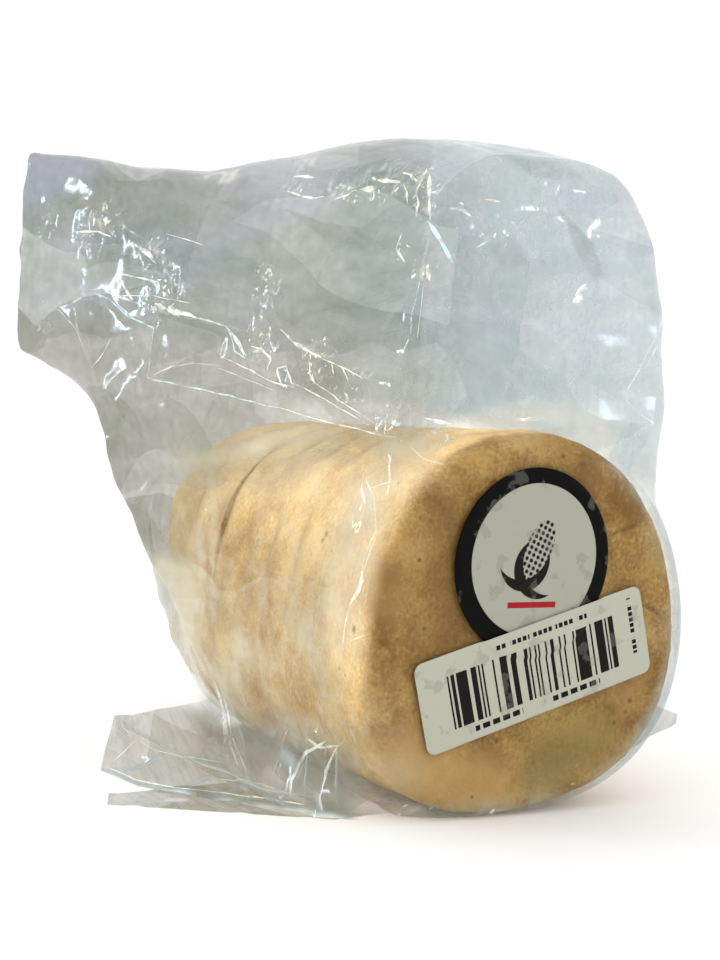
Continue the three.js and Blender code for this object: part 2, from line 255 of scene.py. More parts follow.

# Folds pressed into the film, each a narrow ridge painted as a bright line, a painted highlight, by the side
# that they are seen on: the widest that each is, how blue its painted highlight is and the points that it
# runs through. On the left wall and on the skirt a point is (y, z), on the front wall and on the flap at the
# bottom left (x, z), and across the corner it is (s, z), where s runs square to the corner.
CORNER_TURN = math.radians(32)
FOLDS = {
    "left": (
        (0.75, 0.9, ((86, 133.5), (79, 132), (71, 127), (59, 124), (61, 115), (62, 109))),
        (0.6, 0.75, ((62, 109), (43, 107.5), (26, 106.5), (-3, 104.5))),
        (0.55, 0.1, ((-3, 104.5), (-19, 103), (-43, 101.5), (-54, 101))),
        (2.4, 0.05, ((61, 131.5), (52, 129.5), (42, 128.5))),
        (0.6, 0.0, ((52, 129.5), (40, 128), (27, 126.5))),
        (0.7, 0.7, ((27, 126.5), (20, 122), (16, 117.5), (22, 119.5), (27, 126.5))),
        (2.0, 0.7, ((25, 124.5), (19, 120.5), (15, 118))),
        (1.1, 0.0, ((14, 121), (8, 120.5), (4, 117.5), (3, 114))),
        (0.5, 0.1, ((27, 117), (14, 114.5), (2, 112), (-8, 111))),
        (1.3, 0.0, ((2, 126.5), (-8, 122.5), (-19, 119.5))),
        (0.45, 0.0, ((-19, 119.5), (-30, 117.5), (-40, 115.5))),
        (1.2, 0.0, ((-13, 119.5), (-15, 115.5), (-18, 113))),
        (1.0, 0.0, ((-24, 118.5), (-26, 115.5))),
        (1.2, 0.0, ((-29, 118), (-33, 114))),
        (0.45, 0.0, ((-15, 114), (-26, 110.5), (-38, 106.5), (-46, 104))),
        (0.35, 0.05, ((61, 108.5), (50, 113), (40, 114.5), (28, 114.5))),
        (0.4, 0.0, ((28, 114), (14, 111.5), (0, 109.5))),
        (1.0, 0.0, ((-4, 111.5), (-1, 115.5), (-4, 116.5), (-8, 111.5))),
        (0.5, 0.0, ((-7, 112), (-20, 109.5), (-34, 106), (-44, 103))),
        (1.5, 0.0, ((14.5, 170), (10, 170.3), (5, 169.8))),
        (1.0, 0.0, ((14, 165.8), (6, 164.3), (1, 163.7), (-3, 164.3))),
        (0.7, 0.1, ((-7, 163), (-12, 164.5), (-17, 166))),
        (1.9, 0.0, ((-17.5, 166.2), (-22.6, 166.4), (-26, 166.2))),
        (1.6, 0.0, ((-23.5, 168.8), (-29, 168.4), (-33, 168))),
        (1.2, 0.0, ((-25, 165.8), (-25.5, 163))),
        (1.3, 0.0, ((-32, 170.8), (-36.4, 170), (-40, 168.3))),
        (1.5, 0.0, ((-39, 172), (-42, 168.5), (-44.5, 163.5), (-47, 158.5))),
        (1.0, 0.0, ((-35, 167.5), (-38.5, 165.5), (-41.5, 162))),
        (2.2, 0.1, ((73, 149), (67, 146.5), (62, 143.5))),
        (2.6, 0.9, ((66, 138.5), (62, 137), (60, 134))),
        (1.9, 0.0, ((76, 138), (73, 134.5), (70, 132))),
        (0.7, 0.6, ((78, 140), (70, 139), (62, 138), (60, 134))),
        (0.8, 0.0, ((81, 134), (72, 132), (68, 131))),
        (0.4, 0.0, ((62, 152.5), (52, 151), (44, 149.5))),
        (0.9, 0.1, ((94, 152), (87, 152.5), (82, 151))),
        (0.35, 0.8, ((101, 129), (95, 125), (89, 121.5), (87, 116))),
        (0.4, 0.1, ((84, 110), (80, 116), (78, 119.5))),
        (0.35, 0.1, ((76, 133), (60, 133.5), (45, 132))),
        (0.9, 0.05, ((-41, 90.5), (-43, 86.5), (-47, 81.5))),
        (0.5, 0.1, ((-42, 90), (-49.5, 84.5), (-54, 80), (-57, 76.5))),
        (1.1, 0.1, ((-57, 76.5), (-56.5, 73), (-56, 68.5), (-57.5, 64), (-56, 60))),
        (1.6, 0.15, ((-57, 66), (-57, 61.5), (-54, 56.5))),
        (1.0, 0.1, ((-54, 57), (-53.5, 52.5), (-52, 47.5), (-51, 44))),
        (0.4, 0.0, ((-46, 86.5), (-50, 88), (-55, 89.5))),
        (0.35, 0.0, ((-43, 80), (-45, 76), (-47, 81))),
        (0.4, 0.0, ((-56, 48), (-62, 51))),
    ),
    "corner": (
        (1.9, 0.9, ((-2.4, 157.5), (1.0, 152.5), (4.6, 147))),
        (1.7, 0.0, ((-2.6, 170), (-2.3, 163), (-1.7, 157.5))),
        (0.8, 0.0, ((-8.8, 154), (-10.0, 150), (-7.5, 146.5))),
        (1.8, 0.0, ((2.6, 161), (6.0, 161), (8.5, 159.5))),
        (0.8, 0.0, ((12.0, 164.3), (16.0, 164))),
        (0.9, 0.0, ((10.5, 151.5), (13.5, 153.5))),
        (1.1, 0.0, ((-2.0, 146), (-1.2, 142))),
        (0.3, 0.6, ((-2.6, 141), (-2.8, 134), (-3.2, 127))),
    ),
    "front": (
        (1.3, 0.1, ((7.5, 141), (9.5, 143), (11, 144.5))),
        (1.0, 0.25, ((41.5, 137.5), (35.5, 129), (30, 121.5), (26.5, 116))),
        (0.4, 0.3, ((43.5, 133), (38, 127), (34, 122))),
        (0.3, 0.4, ((27, 114), (33, 110), (39, 107.5))),
        (1.9, 0.0, ((-36, 106.5), (-33, 105.8), (-29, 105.3))),
        (0.3, 0.1, ((-39, 99), (-36, 96), (-31, 94.5))),
    ),
    "skirt": (
        (1.9, 0.3, ((20, 23), (9, 18), (-5, 10), (-14, 6), (-17, 2.5))),
        (1.0, 0.4, ((14, 23), (4, 18), (-9, 10), (-19, 6), (-21, 2.5))),
        (1.2, 0.4, ((8, 22), (2, 13), (-9, 5))),
        (2.0, 0.3, ((-44, 19), (-38, 12), (-37, 7), (-39, 3))),
        (1.5, 0.3, ((-50, 20), (-48, 12), (-49, 5), (-51, 2))),
        (1.0, 0.3, ((-36, 20), (-43, 17), (-50, 19))),
        (0.4, 0.4, ((-26, 20), (-30, 11), (-29, 4))),
        (0.4, 0.3, ((-12, 4), (-20, 2.5), (-28, 4))),
    ),
    "flap": (
        (0.35, 0.3, ((-103, 23.3), (-96, 17.5), (-90, 13.5), (-80, 11), (-70, 9.5))),
        (0.3, 0.3, ((-104.5, 10), (-97, 15.5), (-94.5, 16.5))),
        (0.5, 0.2, ((-103.5, 10), (-97, 7), (-88, 5.6), (-78, 4.6))),
        (0.9, 0.1, ((-79, 4.8), (-72, 4), (-64, 3), (-56, 2), (-51, 1.6))),
        (0.5, 0.1, ((-76, 7), (-68, 6.2), (-60, 4.4))),
    ),
}
# Each side's pieces, how far its points' first axis is turned from X, and how bright its folds' painted
# highlights are.
FOLD_SIDES = {
    "left": (("film_front", "film_row", "film_tail"), math.pi / 2, 1.0),
    "corner": (("film_front", "film_row"), -CORNER_TURN, 1.0),
    "front": (("film_front", "film_row"), 0.0, 1.0),
    "skirt": (("film_skirt",), math.pi / 2, 0.6),
    "flap": (("film_left_corner",), 0.0, 1.0),
}
FOLD_RISE = 0.25
FOLD_LIFT = 0.3
FOLD_STEP = 0.6

# Golden and browned patches on the cakes' left side.
SIDE_GOLDEN_SPOTS = (
    ((-50, 4, 52), 7, 0.8), ((-47, 14, 86), 7, 0.6), ((-46, 2, 93), 6, 0.5), ((-45, -14, 86), 5, 0.6),
    ((-50, -25, 52), 8, 0.35), ((-42, -40, 97), 6, 0.6), ((-44, -30, 100), 7, 0.4), ((-50, 10, 68), 4, 0.7),
    ((-51, 30, 66), 7, 0.4), ((-48, -38, 34), 9, 0.4), ((-50, -20, 46), 5, 0.3),
)

# Where the front face is more golden, more olive or drier and paler; the paler patches along its left rim are
# painted light.
GOLDEN_SPOTS = (
    ((-29, -63, 60), 13, 0.65), ((-28, -63, 80), 11, 0.6), ((-30, -63, 42), 10, 0.5),
    ((6, -63, 97), 12, 0.3), ((34, -63, 64), 10, 0.35),
)
OLIVE_SPOTS = (((8, -63, 14), 13, 0.8), ((26, -63, 20), 12, 0.7), ((44, -63, 72), 6, 0.4))
DRY_AND_LIT_SPOTS = (
    ((0, -60, 108), 14, 0.5), ((-26, -63, 100), 10, 0.45), ((-40, -63, 10), 12, 0.7),
    ((-12, -63, 10), 9, 0.75), ((-27, -63, 12), 10, 0.7), ((-12, -63, 2), 9, 0.6), ((-36, -63, 22), 8, 0.5),
    ((36, -63, 32), 8, 0.4), ((-42, -63, 72), 8, 0.5), ((-45, -62, 58), 8, 0.4),
)

# The front face's cracks, as creases that go inwards and are painted dark as shade in them, and the cakes'
# dark specks (x, y, z, radius).
CRACKS = (
    (0.5, 0.5, 0.5, 0.8, ((22, 75), (27, 77.5), (31, 78.5), (37, 81.5))),
    (0.6, 0.6, 0.6, 0.9, ((35, 58), (38, 57), (42, 55.5), (47, 52), (49, 51))),
    (0.5, 0.5, 0.5, 0.9, ((-49, 95), (-47.5, 92), (-45, 89))),
)
SPECKS = (
    (-46, -62, 88.5, 0.8), (-44.5, -62, 87.5, 0.5), (-49, -62, 63, 0.5), (-31, -64, 21, 0.45),
    (6, -64, 98, 0.4), (13, -64, 96, 0.5), (-9, -64, 21, 0.45), (36, -64, 30, 0.5), (-38, -64, 70, 0.35),
    (-35, -64, 52, 0.35), (31, -64, 24, 0.4), (-46.5, -28, 72.3, 0.6), (-46.5, -27, 70.5, 0.45),
    (-50.5, -53, 50.5, 0.8), (-41, -47, 98, 0.8), (-46, 12, 83, 0.4), (-46.5, -25.5, 75, 0.35),
    (-50.5, 29, 76, 0.4),
)
# Specks further forward than this lie on the front face and the others on the left side. Distances into
# the dough count less, so that a speck shows although its middle lies off the surface.
FRONT_SPECK_Y = -60
SPECK_DEPTH = 0.3
SPECK_CORE = 0.6
SPECK_FADE = 0.6

# The labels.
STICKER = {"radius": 25.4, "x": -2.4, "z": 69.5}
BAR_LABEL = {"width": 76.2, "height": 25.4, "corner": 2.8, "x": 1.4, "z": 40.5}
BAR_LABEL_TILT = math.radians(15.7)

# The camera and what it looks past.
CAMERA_PLACE = (-0.32485, -0.48981, 0.13066)
CAMERA_TURN = math.radians(-32.043)
CAMERA_DIP = math.radians(4.562)
CAMERA_ROLL = math.radians(3.93)
CAMERA_LENS = 75.0
FLOOR_Z = -0.0004


def linear(hex_colour):
    """An sRGB hex colour as linear RGBA."""
    parts = [int(hex_colour[i:i + 2], 16) / 255 for i in (1, 3, 5)]
    return [c / 12.92 if c <= 0.04045 else ((c + 0.055) / 1.055) ** 2.4 for c in parts] + [1.0]


def add_node(tree, kind, links=None, values=None, **settings):
    """Adds a node, with its settings, its fixed input values and its links from other nodes' outputs."""
    node = tree.nodes.new(kind)
    for key, value in settings.items():
        setattr(node, key, value)
    for key, value in (values or {}).items():
        node.inputs[key].default_value = value
    for key, source in (links or {}).items():
        tree.links.new(source, node.inputs[key])
    return node


def new_material(name):
    """An empty material, its node tree and the place on the piece that its patterns follow."""
    material = bpy.data.materials.new(name)
    material.use_nodes = True
    tree = material.node_tree
    tree.nodes.clear()
    return material, tree, add_node(tree, "ShaderNodeTexCoord").outputs["Object"]


# ---------------------------------------------------------------- random fields

def soft_noise(points, size, seed):
    """Smooth random values from about -1 to 1 that change over a distance of size."""
    draw = np.random.default_rng(seed)
    order = draw.permutation(256)
    slopes = draw.normal(size=(256, 3))
    slopes /= np.linalg.norm(slopes, axis=1)[:, None]
    scaled = points / size
    cell = np.floor(scaled).astype(int)
    local = scaled - cell
    fade = local ** 3 * (local * (local * 6 - 15) + 10)
    total = np.zeros(len(points))
    for corner in itertools.product((0, 1), repeat=3):
        place = (cell + corner) % 256
        key = order[(order[(order[place[:, 0]] + place[:, 1]) % 256] + place[:, 2]) % 256]
        weight = np.where(corner, fade, 1 - fade).prod(axis=1)
        total += weight * (slopes[key] * (local - corner)).sum(axis=1)
    return 1.6 * total


def smooth_step(value, low, high):
    """0 below low, 1 above high and an even rise between them."""
    t = np.clip((value - low) / (high - low), 0, 1)
    return t * t * (3 - 2 * t)


# ---------------------------------------------------------------- the pack's outer shape

def along_row(y):
    return np.clip((y - FRONT_Y) / (BACK_Y - FRONT_Y), 0, 1)


def film_curve(column, y):
    """A smooth curve of y through one column of the loose film's stations."""
    ys = np.array(LOOSE_FILM["y"], float)
    values = np.array(LOOSE_FILM[column], float)
    before = np.r_[0, np.arange(len(ys) - 1)]
    after = np.r_[np.arange(1, len(ys)), len(ys) - 1]
    slopes = (values[after] - values[before]) / (ys[after] - ys[before])
    i = np.clip(np.searchsorted(ys, y, side="right") - 1, 0, len(ys) - 2)
    width = ys[i + 1] - ys[i]
    t = (y - ys[i]) / width
    return ((2 * t ** 3 - 3 * t ** 2 + 1) * values[i] + (t ** 3 - 2 * t ** 2 + t) * width * slopes[i]
            + (3 * t ** 2 - 2 * t ** 3) * values[i + 1] + (t ** 3 - t ** 2) * width * slopes[i + 1])


def cake_axis(y):
    along = along_row(y)
    return (FRONT_AXIS[0] + (BACK_AXIS[0] - FRONT_AXIS[0]) * along,
            FRONT_AXIS[1] + (BACK_AXIS[1] - FRONT_AXIS[1]) * along)


def cake_radius(y):
    return FRONT_CAKE_RADIUS + (BACK_CAKE_RADIUS - FRONT_CAKE_RADIUS) * along_row(y)


def towards(angle, wanted, sharpness):
    """1 at the wanted angle and less away from it."""
    return np.exp(sharpness * (np.cos(angle - wanted) - 1))


def cake_outline(y, angle):
    """What a cake's uneven outline adds to its radius."""
    three = THREE_SIDED[0] * np.cos(3 * (angle - THREE_SIDED[1]))
    four = FOUR_SIDED[0] * np.cos(4 * (angle - FOUR_SIDED[1]))
    # The film draws the last cakes in at their lower left, on its way down to the bottom corner.
    tuck = TUCK * smooth_step(y, *TUCK_STRETCH) * towards(angle, TUCK_ANGLE, TUCK_SHARPNESS)
    return three + four * (1 + (BACK_SWELL_GAIN - 1) * along_row(y)) - tuck


def snug_relief(y, angle):
    """What the outline, the grooves, the front rim and the skirt add to the film's radius."""
    in_row = (y > FRONT_Y + RIM_LENGTH / 2) & (y < END_START_Y)
    wave = 0.5 + 0.5 * np.cos(2 * np.pi * (y - FRONT_Y) / CAKE_THICKNESS)
    groove = np.where(in_row, GROOVE_DEPTH * wave ** 3, 0)
    rim = np.clip((FRONT_Y + RIM_LENGTH - y) / RIM_LENGTH, 0, 1)
    rim_drop = RIM_DROP * (1 - np.sqrt(1 - rim * rim))
    skirt_fade = np.clip(y / FRONT_Y, 0, 1)
    skirt = SKIRT_SWELL * skirt_fade * np.exp(-((angle - SKIRT_ANGLE) / SKIRT_SPREAD) ** 2)
    return cake_outline(y, angle) - groove - rim_drop + skirt * (1 - rim)


def section_middle(y):
    return (film_curve("left", y) + film_curve("right", y)) / 2, film_curve("middle", y)


def reach_of_cakes(y, direction):
    """From the section's middle to the film round the cakes, shrinking away past the row."""
    middle_x, middle_z = section_middle(np.minimum(y, END_START_Y))
    axis_x, axis_z = cake_axis(y)
    dx, dz = middle_x - axis_x, middle_z - axis_z
    ex, ez = np.cos(direction), np.sin(direction)
    b = dx * ex + dz * ez
    on_circle = -b + np.sqrt(b * b - dx * dx - dz * dz + cake_radius(y) ** 2)
    angle = np.arctan2(dz + on_circle * ez, dx + on_circle * ex)
    reach = on_circle + snug_relief(y, angle) * np.cos(angle - direction)
    end = np.clip((y - END_START_Y) / END_LENGTH, 0, 1)
    return reach * np.sqrt(1 - end * end)


def reach_of_loose_film(y, direction):
    half_width = (film_curve("right", y) - film_curve("left", y)) / 2
    up = np.sin(direction) > 0
    height = np.abs(np.where(up, film_curve("top", y), film_curve("bottom", y)) - film_curve("middle", y))
    across = np.abs(np.cos(direction)) / half_width
    upright = np.abs(np.sin(direction)) / height
    brow = np.clip((y - BROW_START_Y) / BROW_LENGTH, 0, 1)
    growth = np.sqrt(1 - (1 - brow) ** BROW_POWER)
    return growth / (across ** SQUARENESS + upright ** SQUARENESS) ** (1 / SQUARENESS)


def skin_points(y, direction):
    """Points of the bag's skin: the further of the two reaches, softly joined, never under the floor."""
    y, direction = np.broadcast_arrays(np.asarray(y, float), np.asarray(direction, float))
    middle_x, middle_z = section_middle(y)
    cakes = reach_of_cakes(y, direction)
    loose = reach_of_loose_film(y, direction)
    share = np.clip(0.5 + 0.5 * (cakes - loose) / BLEND, 0, 1)
    reach = loose + (cakes - loose) * share + BLEND * share * (1 - share)
    x = middle_x + reach * np.cos(direction)
    z = middle_z + reach * np.sin(direction)
    return np.stack([x, y, np.maximum(z, 0)], axis=-1)


# ---------------------------------------------------------------- mesh helpers

def read_points(piece):
    points = np.empty(len(piece.data.vertices) * 3)
    piece.data.vertices.foreach_get("co", points)
    return points.reshape(-1, 3) / MM


def read_normals(piece):
    normals = np.empty(len(piece.data.vertices) * 3)
    piece.data.vertices.foreach_get("normal", normals)
    return normals.reshape(-1, 3)


def write_points(piece, points):
    piece.data.vertices.foreach_set("co", (points * MM).astype(np.float32).ravel())
    piece.data.update()


def write_attribute(piece, name, values):
    attribute = piece.data.attributes.new(name, "FLOAT", "POINT")
    attribute.data.foreach_set("value", np.clip(values, 0, 1).astype(np.float32))


def only(piece):
    """Makes piece the one selected object."""
    bpy.ops.object.select_all(action="DESELECT")
    piece.select_set(True)
    bpy.context.view_layer.objects.active = piece


def grid_piece(name, surface, closed, values=None):
    """A grid laid over a surface of points, with attributes. A closed one meets itself along its columns."""
    rows, columns = surface.shape[:2]
    bpy.ops.object.select_all(action="DESELECT")
    across = columns if closed else columns - 1
    bpy.ops.mesh.primitive_grid_add(x_subdivisions=across, y_subdivisions=rows - 1, size=1)
    piece = bpy.context.active_object
    piece.name = piece.data.name = name
    flat = read_points(piece) * MM + 0.5
    column = np.round(flat[:, 0] * across).astype(int) % columns
    row = np.round(flat[:, 1] * (rows - 1)).astype(int)
    write_points(piece, surface[row, column])
    for key, value in (values or {}).items():
        write_attribute(piece, key, value[row, column])
    if closed:
        bpy.ops.object.mode_set(mode="EDIT")
        bpy.ops.mesh.select_all(action="SELECT")
        bpy.ops.mesh.remove_doubles(threshold=1e-6)
        bpy.ops.mesh.normals_make_consistent(inside=False)
        bpy.ops.object.mode_set(mode="OBJECT")
    bpy.ops.object.shade_smooth()
    return piece


def finish_piece(piece, material, slot, *nodes):
    piece.data.materials.clear()
    piece.data.materials.append(material)
    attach(piece, "root")
    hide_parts(*nodes)


# ---------------------------------------------------------------- the film

# How creases and folds end, round off and show their painted highlight, in millimetres but for the
# highlight's strength.
CREASE_TAPER = 6.0
CREASE_ROUNDING = 0.5
CREST_WIDTH = 0.45
SOFT_FOLD_WIDTH = 0.9
CREST_PAINTED_HIGHLIGHT = 0.34
# How far off the cakes the film starts to count as loose, and where it does wholly: for its folds, and for
# its haze.
NEAR_LOOSE = (0.2, 2.6)
FAR_LOOSE = (2, 9)
MOST_MILK = 0.6
HAZE_RANGE = (0.03, 0.85)
CLEAR_HAZE = 0.38
# How the film's grid is divided: round a section, and along its cap, front wall, row and tail.
FILM_COLUMNS = 460
CAP_ROWS = 20
WALL_ROWS = 110
ROW_ROWS = 200
TAIL_ROWS = 90


def film_directions():
    """Directions round a section, closer together where the film is creased and in sight."""
    fine = np.linspace(-np.pi / 2, 1.5 * np.pi, 4001)
    ring = skin_points(0.0, fine)
    middle = (ring[1:] + ring[:-1]) / 2
    upper_left = (middle[:, 0] < 0) & (middle[:, 2] > 88)
    lower_left = (middle[:, 0] < -20) & (middle[:, 2] > 10) & ~upper_left
    weight = np.where(upper_left, 2.4, np.where(lower_left, 1.4, np.where(middle[:, 2] > 100, 1.1, 0.7)))
    length = np.r_[0, np.cumsum(weight * np.linalg.norm(np.diff(ring, axis=0), axis=1))]
    return np.interp(np.linspace(0, length[-1], FILM_COLUMNS, endpoint=False), length, fine)


def film_skin():
    """Rings of the bag's skin from the middle of its front to the closed end of its tail, and normals."""
    direction = film_directions()
    wall_end = BROW_START_Y + BROW_LENGTH
    climb = np.linspace(0, 1, WALL_ROWS - 3)
    brow = BROW_START_Y + BROW_LENGTH * (1 - (1 - climb ** 2) ** (1 / BROW_POWER))
    wall = np.r_[np.linspace(FRONT_Y, BROW_START_Y, 3, endpoint=False), brow]
    row = np.linspace(wall_end, BACK_Y, ROW_ROWS + 1)[1:]
    tail = np.linspace(BACK_Y, TAIL_Y, TAIL_ROWS + 1)[1:]
    rings = skin_points(np.r_[wall, row, tail][:, None], direction[None, :])
    first, last = rings[0], rings[-1]
    cap_middle = np.array([FRONT_AXIS[0], FRONT_Y, FRONT_AXIS[1]])
    shares = np.linspace(0, 1, CAP_ROWS, endpoint=False)
    cap = np.array([cap_middle + (first - cap_middle) * share for share in shares])
    end_middle = last.mean(axis=0)
    end = np.array([end_middle + (last - end_middle) * share for share in (0.5, 0.0)])
    points = np.concatenate([cap, rings, end])
    across = np.roll(points, -1, axis=1) - np.roll(points, 1, axis=1)
    normals = np.cross(np.gradient(points, axis=0), across)
    return points, normals / np.maximum(np.linalg.norm(normals, axis=-1, keepdims=True), 1e-9)


def looseness(points, near, far):
    """0 where the film is nearer than near to the cakes, and 1 where it stands off by far or more."""
    axis_x, axis_z = cake_axis(points[:, 1])
    dx, dz = points[:, 0] - axis_x, points[:, 2] - axis_z
    beyond = np.hypot(dx, dz) - cake_radius(points[:, 1]) - cake_outline(points[:, 1], np.arctan2(dz, dx))
    past_row = smooth_step(points[:, 1], BACK_Y + 2, BACK_Y + 10)
    return np.maximum(smooth_step(beyond, near, far), past_row)


def crease_relief(creases, across, height):
    """The height of some creases at points of a wall, and how close each point is to a crest."""
    place = np.stack([across, height], axis=-1)
    relief, crest = np.zeros(len(place)), np.zeros(len(place))
    for rise, fade_left, fade_right, shine, route in creases:
        route = np.array(route, float)
        steps = np.linalg.norm(np.diff(route, axis=0), axis=1)
        start = np.r_[0, np.cumsum(steps)]
        nearest = np.full(len(place), np.inf)
        side, along = np.zeros(len(place)), np.zeros(len(place))
        for i, (a, b) in enumerate(zip(route[:-1], route[1:])):
            share = np.clip((place - a) @ (b - a) / steps[i] ** 2, 0, 1)
            away = place - a - share[:, None] * (b - a)
            distance = np.linalg.norm(away, axis=1)
            closer = distance < nearest
            nearest = np.where(closer, distance, nearest)
            cross = (b - a)[0] * away[:, 1] - (b - a)[1] * away[:, 0]
            side = np.where(closer, np.sign(cross), side)
            along = np.where(closer, start[i] + share * steps[i], along)
        taper = np.clip(np.minimum(along, start[-1] - along) / CREASE_TAPER, 0, 1)
        fade = np.where(side > 0, fade_left, fade_right)
        rounded = np.sqrt(nearest ** 2 + CREASE_ROUNDING ** 2) - CREASE_ROUNDING
        relief += rise * (0.25 + 0.75 * taper) * np.exp(-rounded / fade)
        crest = np.maximum(crest, shine * taper * np.exp(-(nearest / CREST_WIDTH) ** 2))
    return relief, crest


def spots(points, places):
    """A sum of soft round spots: the middle, how far it spreads and how strong it is."""
    total = np.zeros(len(points))
    for middle, spread, strength in places:
        total += strength * np.exp(-((points - middle) ** 2).sum(axis=1) / spread ** 2)
    return total


def veils(points):
    """How milky the film is where it is doubled: wide soft bands down the left side."""
    shrink = CREST_WIDTH / VEIL_WIDTH
    bands = [(0, 1, 1, strength, np.array(route) * shrink) for strength, route in SIDE_VEILS]
    return crease_relief(bands, points[:, 1] * shrink, points[:, 2] * shrink)[1]


def facet(across, height, corners):
    """1 inside a polygon that has no inward corner, with a soft edge."""
    inside = np.full(len(across), np.inf)
    area = sum(ax * bz - bx * az for (ax, az), (bx, bz) in zip(corners, corners[1:] + corners[:1]))
    corners = corners if area < 0 else corners[::-1]
    for (ax, az), (bx, bz) in zip(corners, corners[1:] + corners[:1]):
        length = math.hypot(bx - ax, bz - az)
        inside = np.minimum(inside, ((bz - az) * (across - ax) - (bx - ax) * (height - az)) / length)
    return smooth_step(inside, -0.6, 0.8)


def crumple(points, size, seed, count=5):
    """Flat facets that meet in sharp folds, from about -0.5 to 0.5, and how close each point is to a fold."""
    draw = np.random.default_rng(seed)
    relief, folds = np.zeros(len(points)), np.zeros(len(points))
    for i in range(count):
        direction = draw.normal(size=3)
        direction /= np.linalg.norm(direction)
        bend = 0.35 * size * soft_noise(points, 3 * size, seed + 11 * i)
        period = size * draw.uniform(1.2, 2.4)
        wave = (points @ direction + bend) / period + draw.uniform()
        from_fold = np.abs(wave - np.round(wave))
        relief += 2 * from_fold - 0.5
        here = np.clip(1.6 * soft_noise(points, 1.4 * size, seed + 11 * i + 5), 0, 1)
        folds = np.maximum(folds, here * np.exp(-(from_fold * period / SOFT_FOLD_WIDTH) ** 2))
    return relief / math.sqrt(count), folds


def film_relief(points, loose, faces_front):
    """How far the film stands out from the bag's plain shape, in millimetres, and its fine folds."""
    billow = 0.8 * soft_noise(points, 46, 3) + 0.4 * soft_noise(points, 19, 4)
    drawn_back = 0.55 * soft_noise(points * (1, 0.16, 1), 7, 5)
    drawn_down = 0.5 * soft_noise(points * (1, 1, 0.3), 9, 6)
    slack = billow + drawn_back * (1 - faces_front) + drawn_down * faces_front
    rumpled = smooth_step(soft_noise(points, 34, 7), -0.2, 0.5)
    crushed = np.clip(spots(points, CRUSHED_SPOTS), 0, 1)
    broad, broad_folds = crumple(points * (1, 0.6, 1), 15, 21)
    middling, middling_folds = crumple(points * (1, 0.7, 1), 6, 22)
    fine, fine_folds = crumple(points, 3.2, 24)
    shallow, shallow_folds = crumple(points, 8, 23)
    facets = 0.9 * broad + 0.5 * rumpled * middling + 1.1 * crushed * fine
    snug = 0.22 * shallow + 0.1 * soft_noise(points, 12, 8)
    loose_folds = 0.17 * broad_folds + 0.08 * rumpled * middling_folds + 0.4 * crushed * fine_folds
    relief = loose * (slack + facets) + (1 - loose) * snug
    return relief, loose * loose_folds + 0.07 * (1 - loose) * shallow_folds


def film_painted_shade(points, normals, on_left, faces_front):
    """How dark the film's painted shade is: left of the corner that leads up from the front rim, in spots and
    in facets.
    """
    turn_cos, turn_sin = math.cos(CORNER_TURN), math.sin(CORNER_TURN)
    past_corner = points[:, 0] * turn_cos - points[:, 1] * turn_sin
    in_sight = smooth_step(-normals[:, 0] * turn_sin - normals[:, 1] * turn_cos, 0, 0.3)
    left_of_corner = in_sight * smooth_step(-past_corner, 1.6, 3.2) * smooth_step(past_corner, -36, -8)
    upper = smooth_step(points[:, 2], 106, 138) * (1 - 0.4 * smooth_step(points[:, 2], 168, 176))
    painted_shade = 0.8 * left_of_corner * upper + spots(points, PAINTED_SHADE_SPOTS)
    painted_shade += 0.2 * soft_noise(points * (1, 0.3, 1), 16, 51)
    for depth, corners in LEFT_FACETS:
        painted_shade += depth * on_left * facet(points[:, 1], points[:, 2], corners)
    for depth, corners in FRONT_FACETS:
        painted_shade += depth * faces_front * facet(points[:, 0], points[:, 2], corners)
    return painted_shade


def milk_over_cakes(points, on_left):
    """How milky the film is where it is doubled or rubbed over the row's left side."""
    milk = np.clip(spots(points, PALE_SPOTS) + on_left * veils(points), 0, 1)
    milk *= 1 - smooth_step(points[:, 2], 98, 108)
    milk *= 0.8 + 0.35 * soft_noise(points * (1, 1, 0.6), 9, 63) + 0.12 * soft_noise(points, 3, 64)
    return np.minimum(milk, MOST_MILK) * (1 - smooth_step(points[:, 1], 54, 66))


def haze_off_front(points, afar, milk):
    """The haze of the film round the row, broken where it lies on the cakes and even where it is loose."""
    snug_haze = 0.22 + 0.22 * soft_noise(points, 16, 52) + 0.12 * soft_noise(points, 7, 56)
    snug_haze += 0.1 * soft_noise(points * (1, 1, 0.6), 3.2, 60) + 0.07 * soft_noise(points, 1.7, 62)
    loose_haze = 0.5 + 0.06 * soft_noise(points * (1, 0.15, 1), 6, 53) + 0.05 * soft_noise(points, 22, 54)
    loose_haze -= spots(points, CLEAR_SPOTS)
    return np.clip(afar * loose_haze + (1 - afar) * snug_haze + milk, *HAZE_RANGE)


def standing_clear(points):
    """1 where the film stands clear past the front cake's right edge, and 1 where it does along the floor."""
    forward = -points[:, 1]
    from_axis = np.hypot(points[:, 0] - FRONT_AXIS[0], points[:, 2] - FRONT_AXIS[1])
    past_right = smooth_step(from_axis, 45, 51) * smooth_step(points[:, 0], 14, 30)
    past_right *= smooth_step(forward, 50, 58)
    along_floor = (1 - smooth_step(points[:, 2], 1.5, 7)) * smooth_step(forward, 20, 50)
    return past_right, along_floor


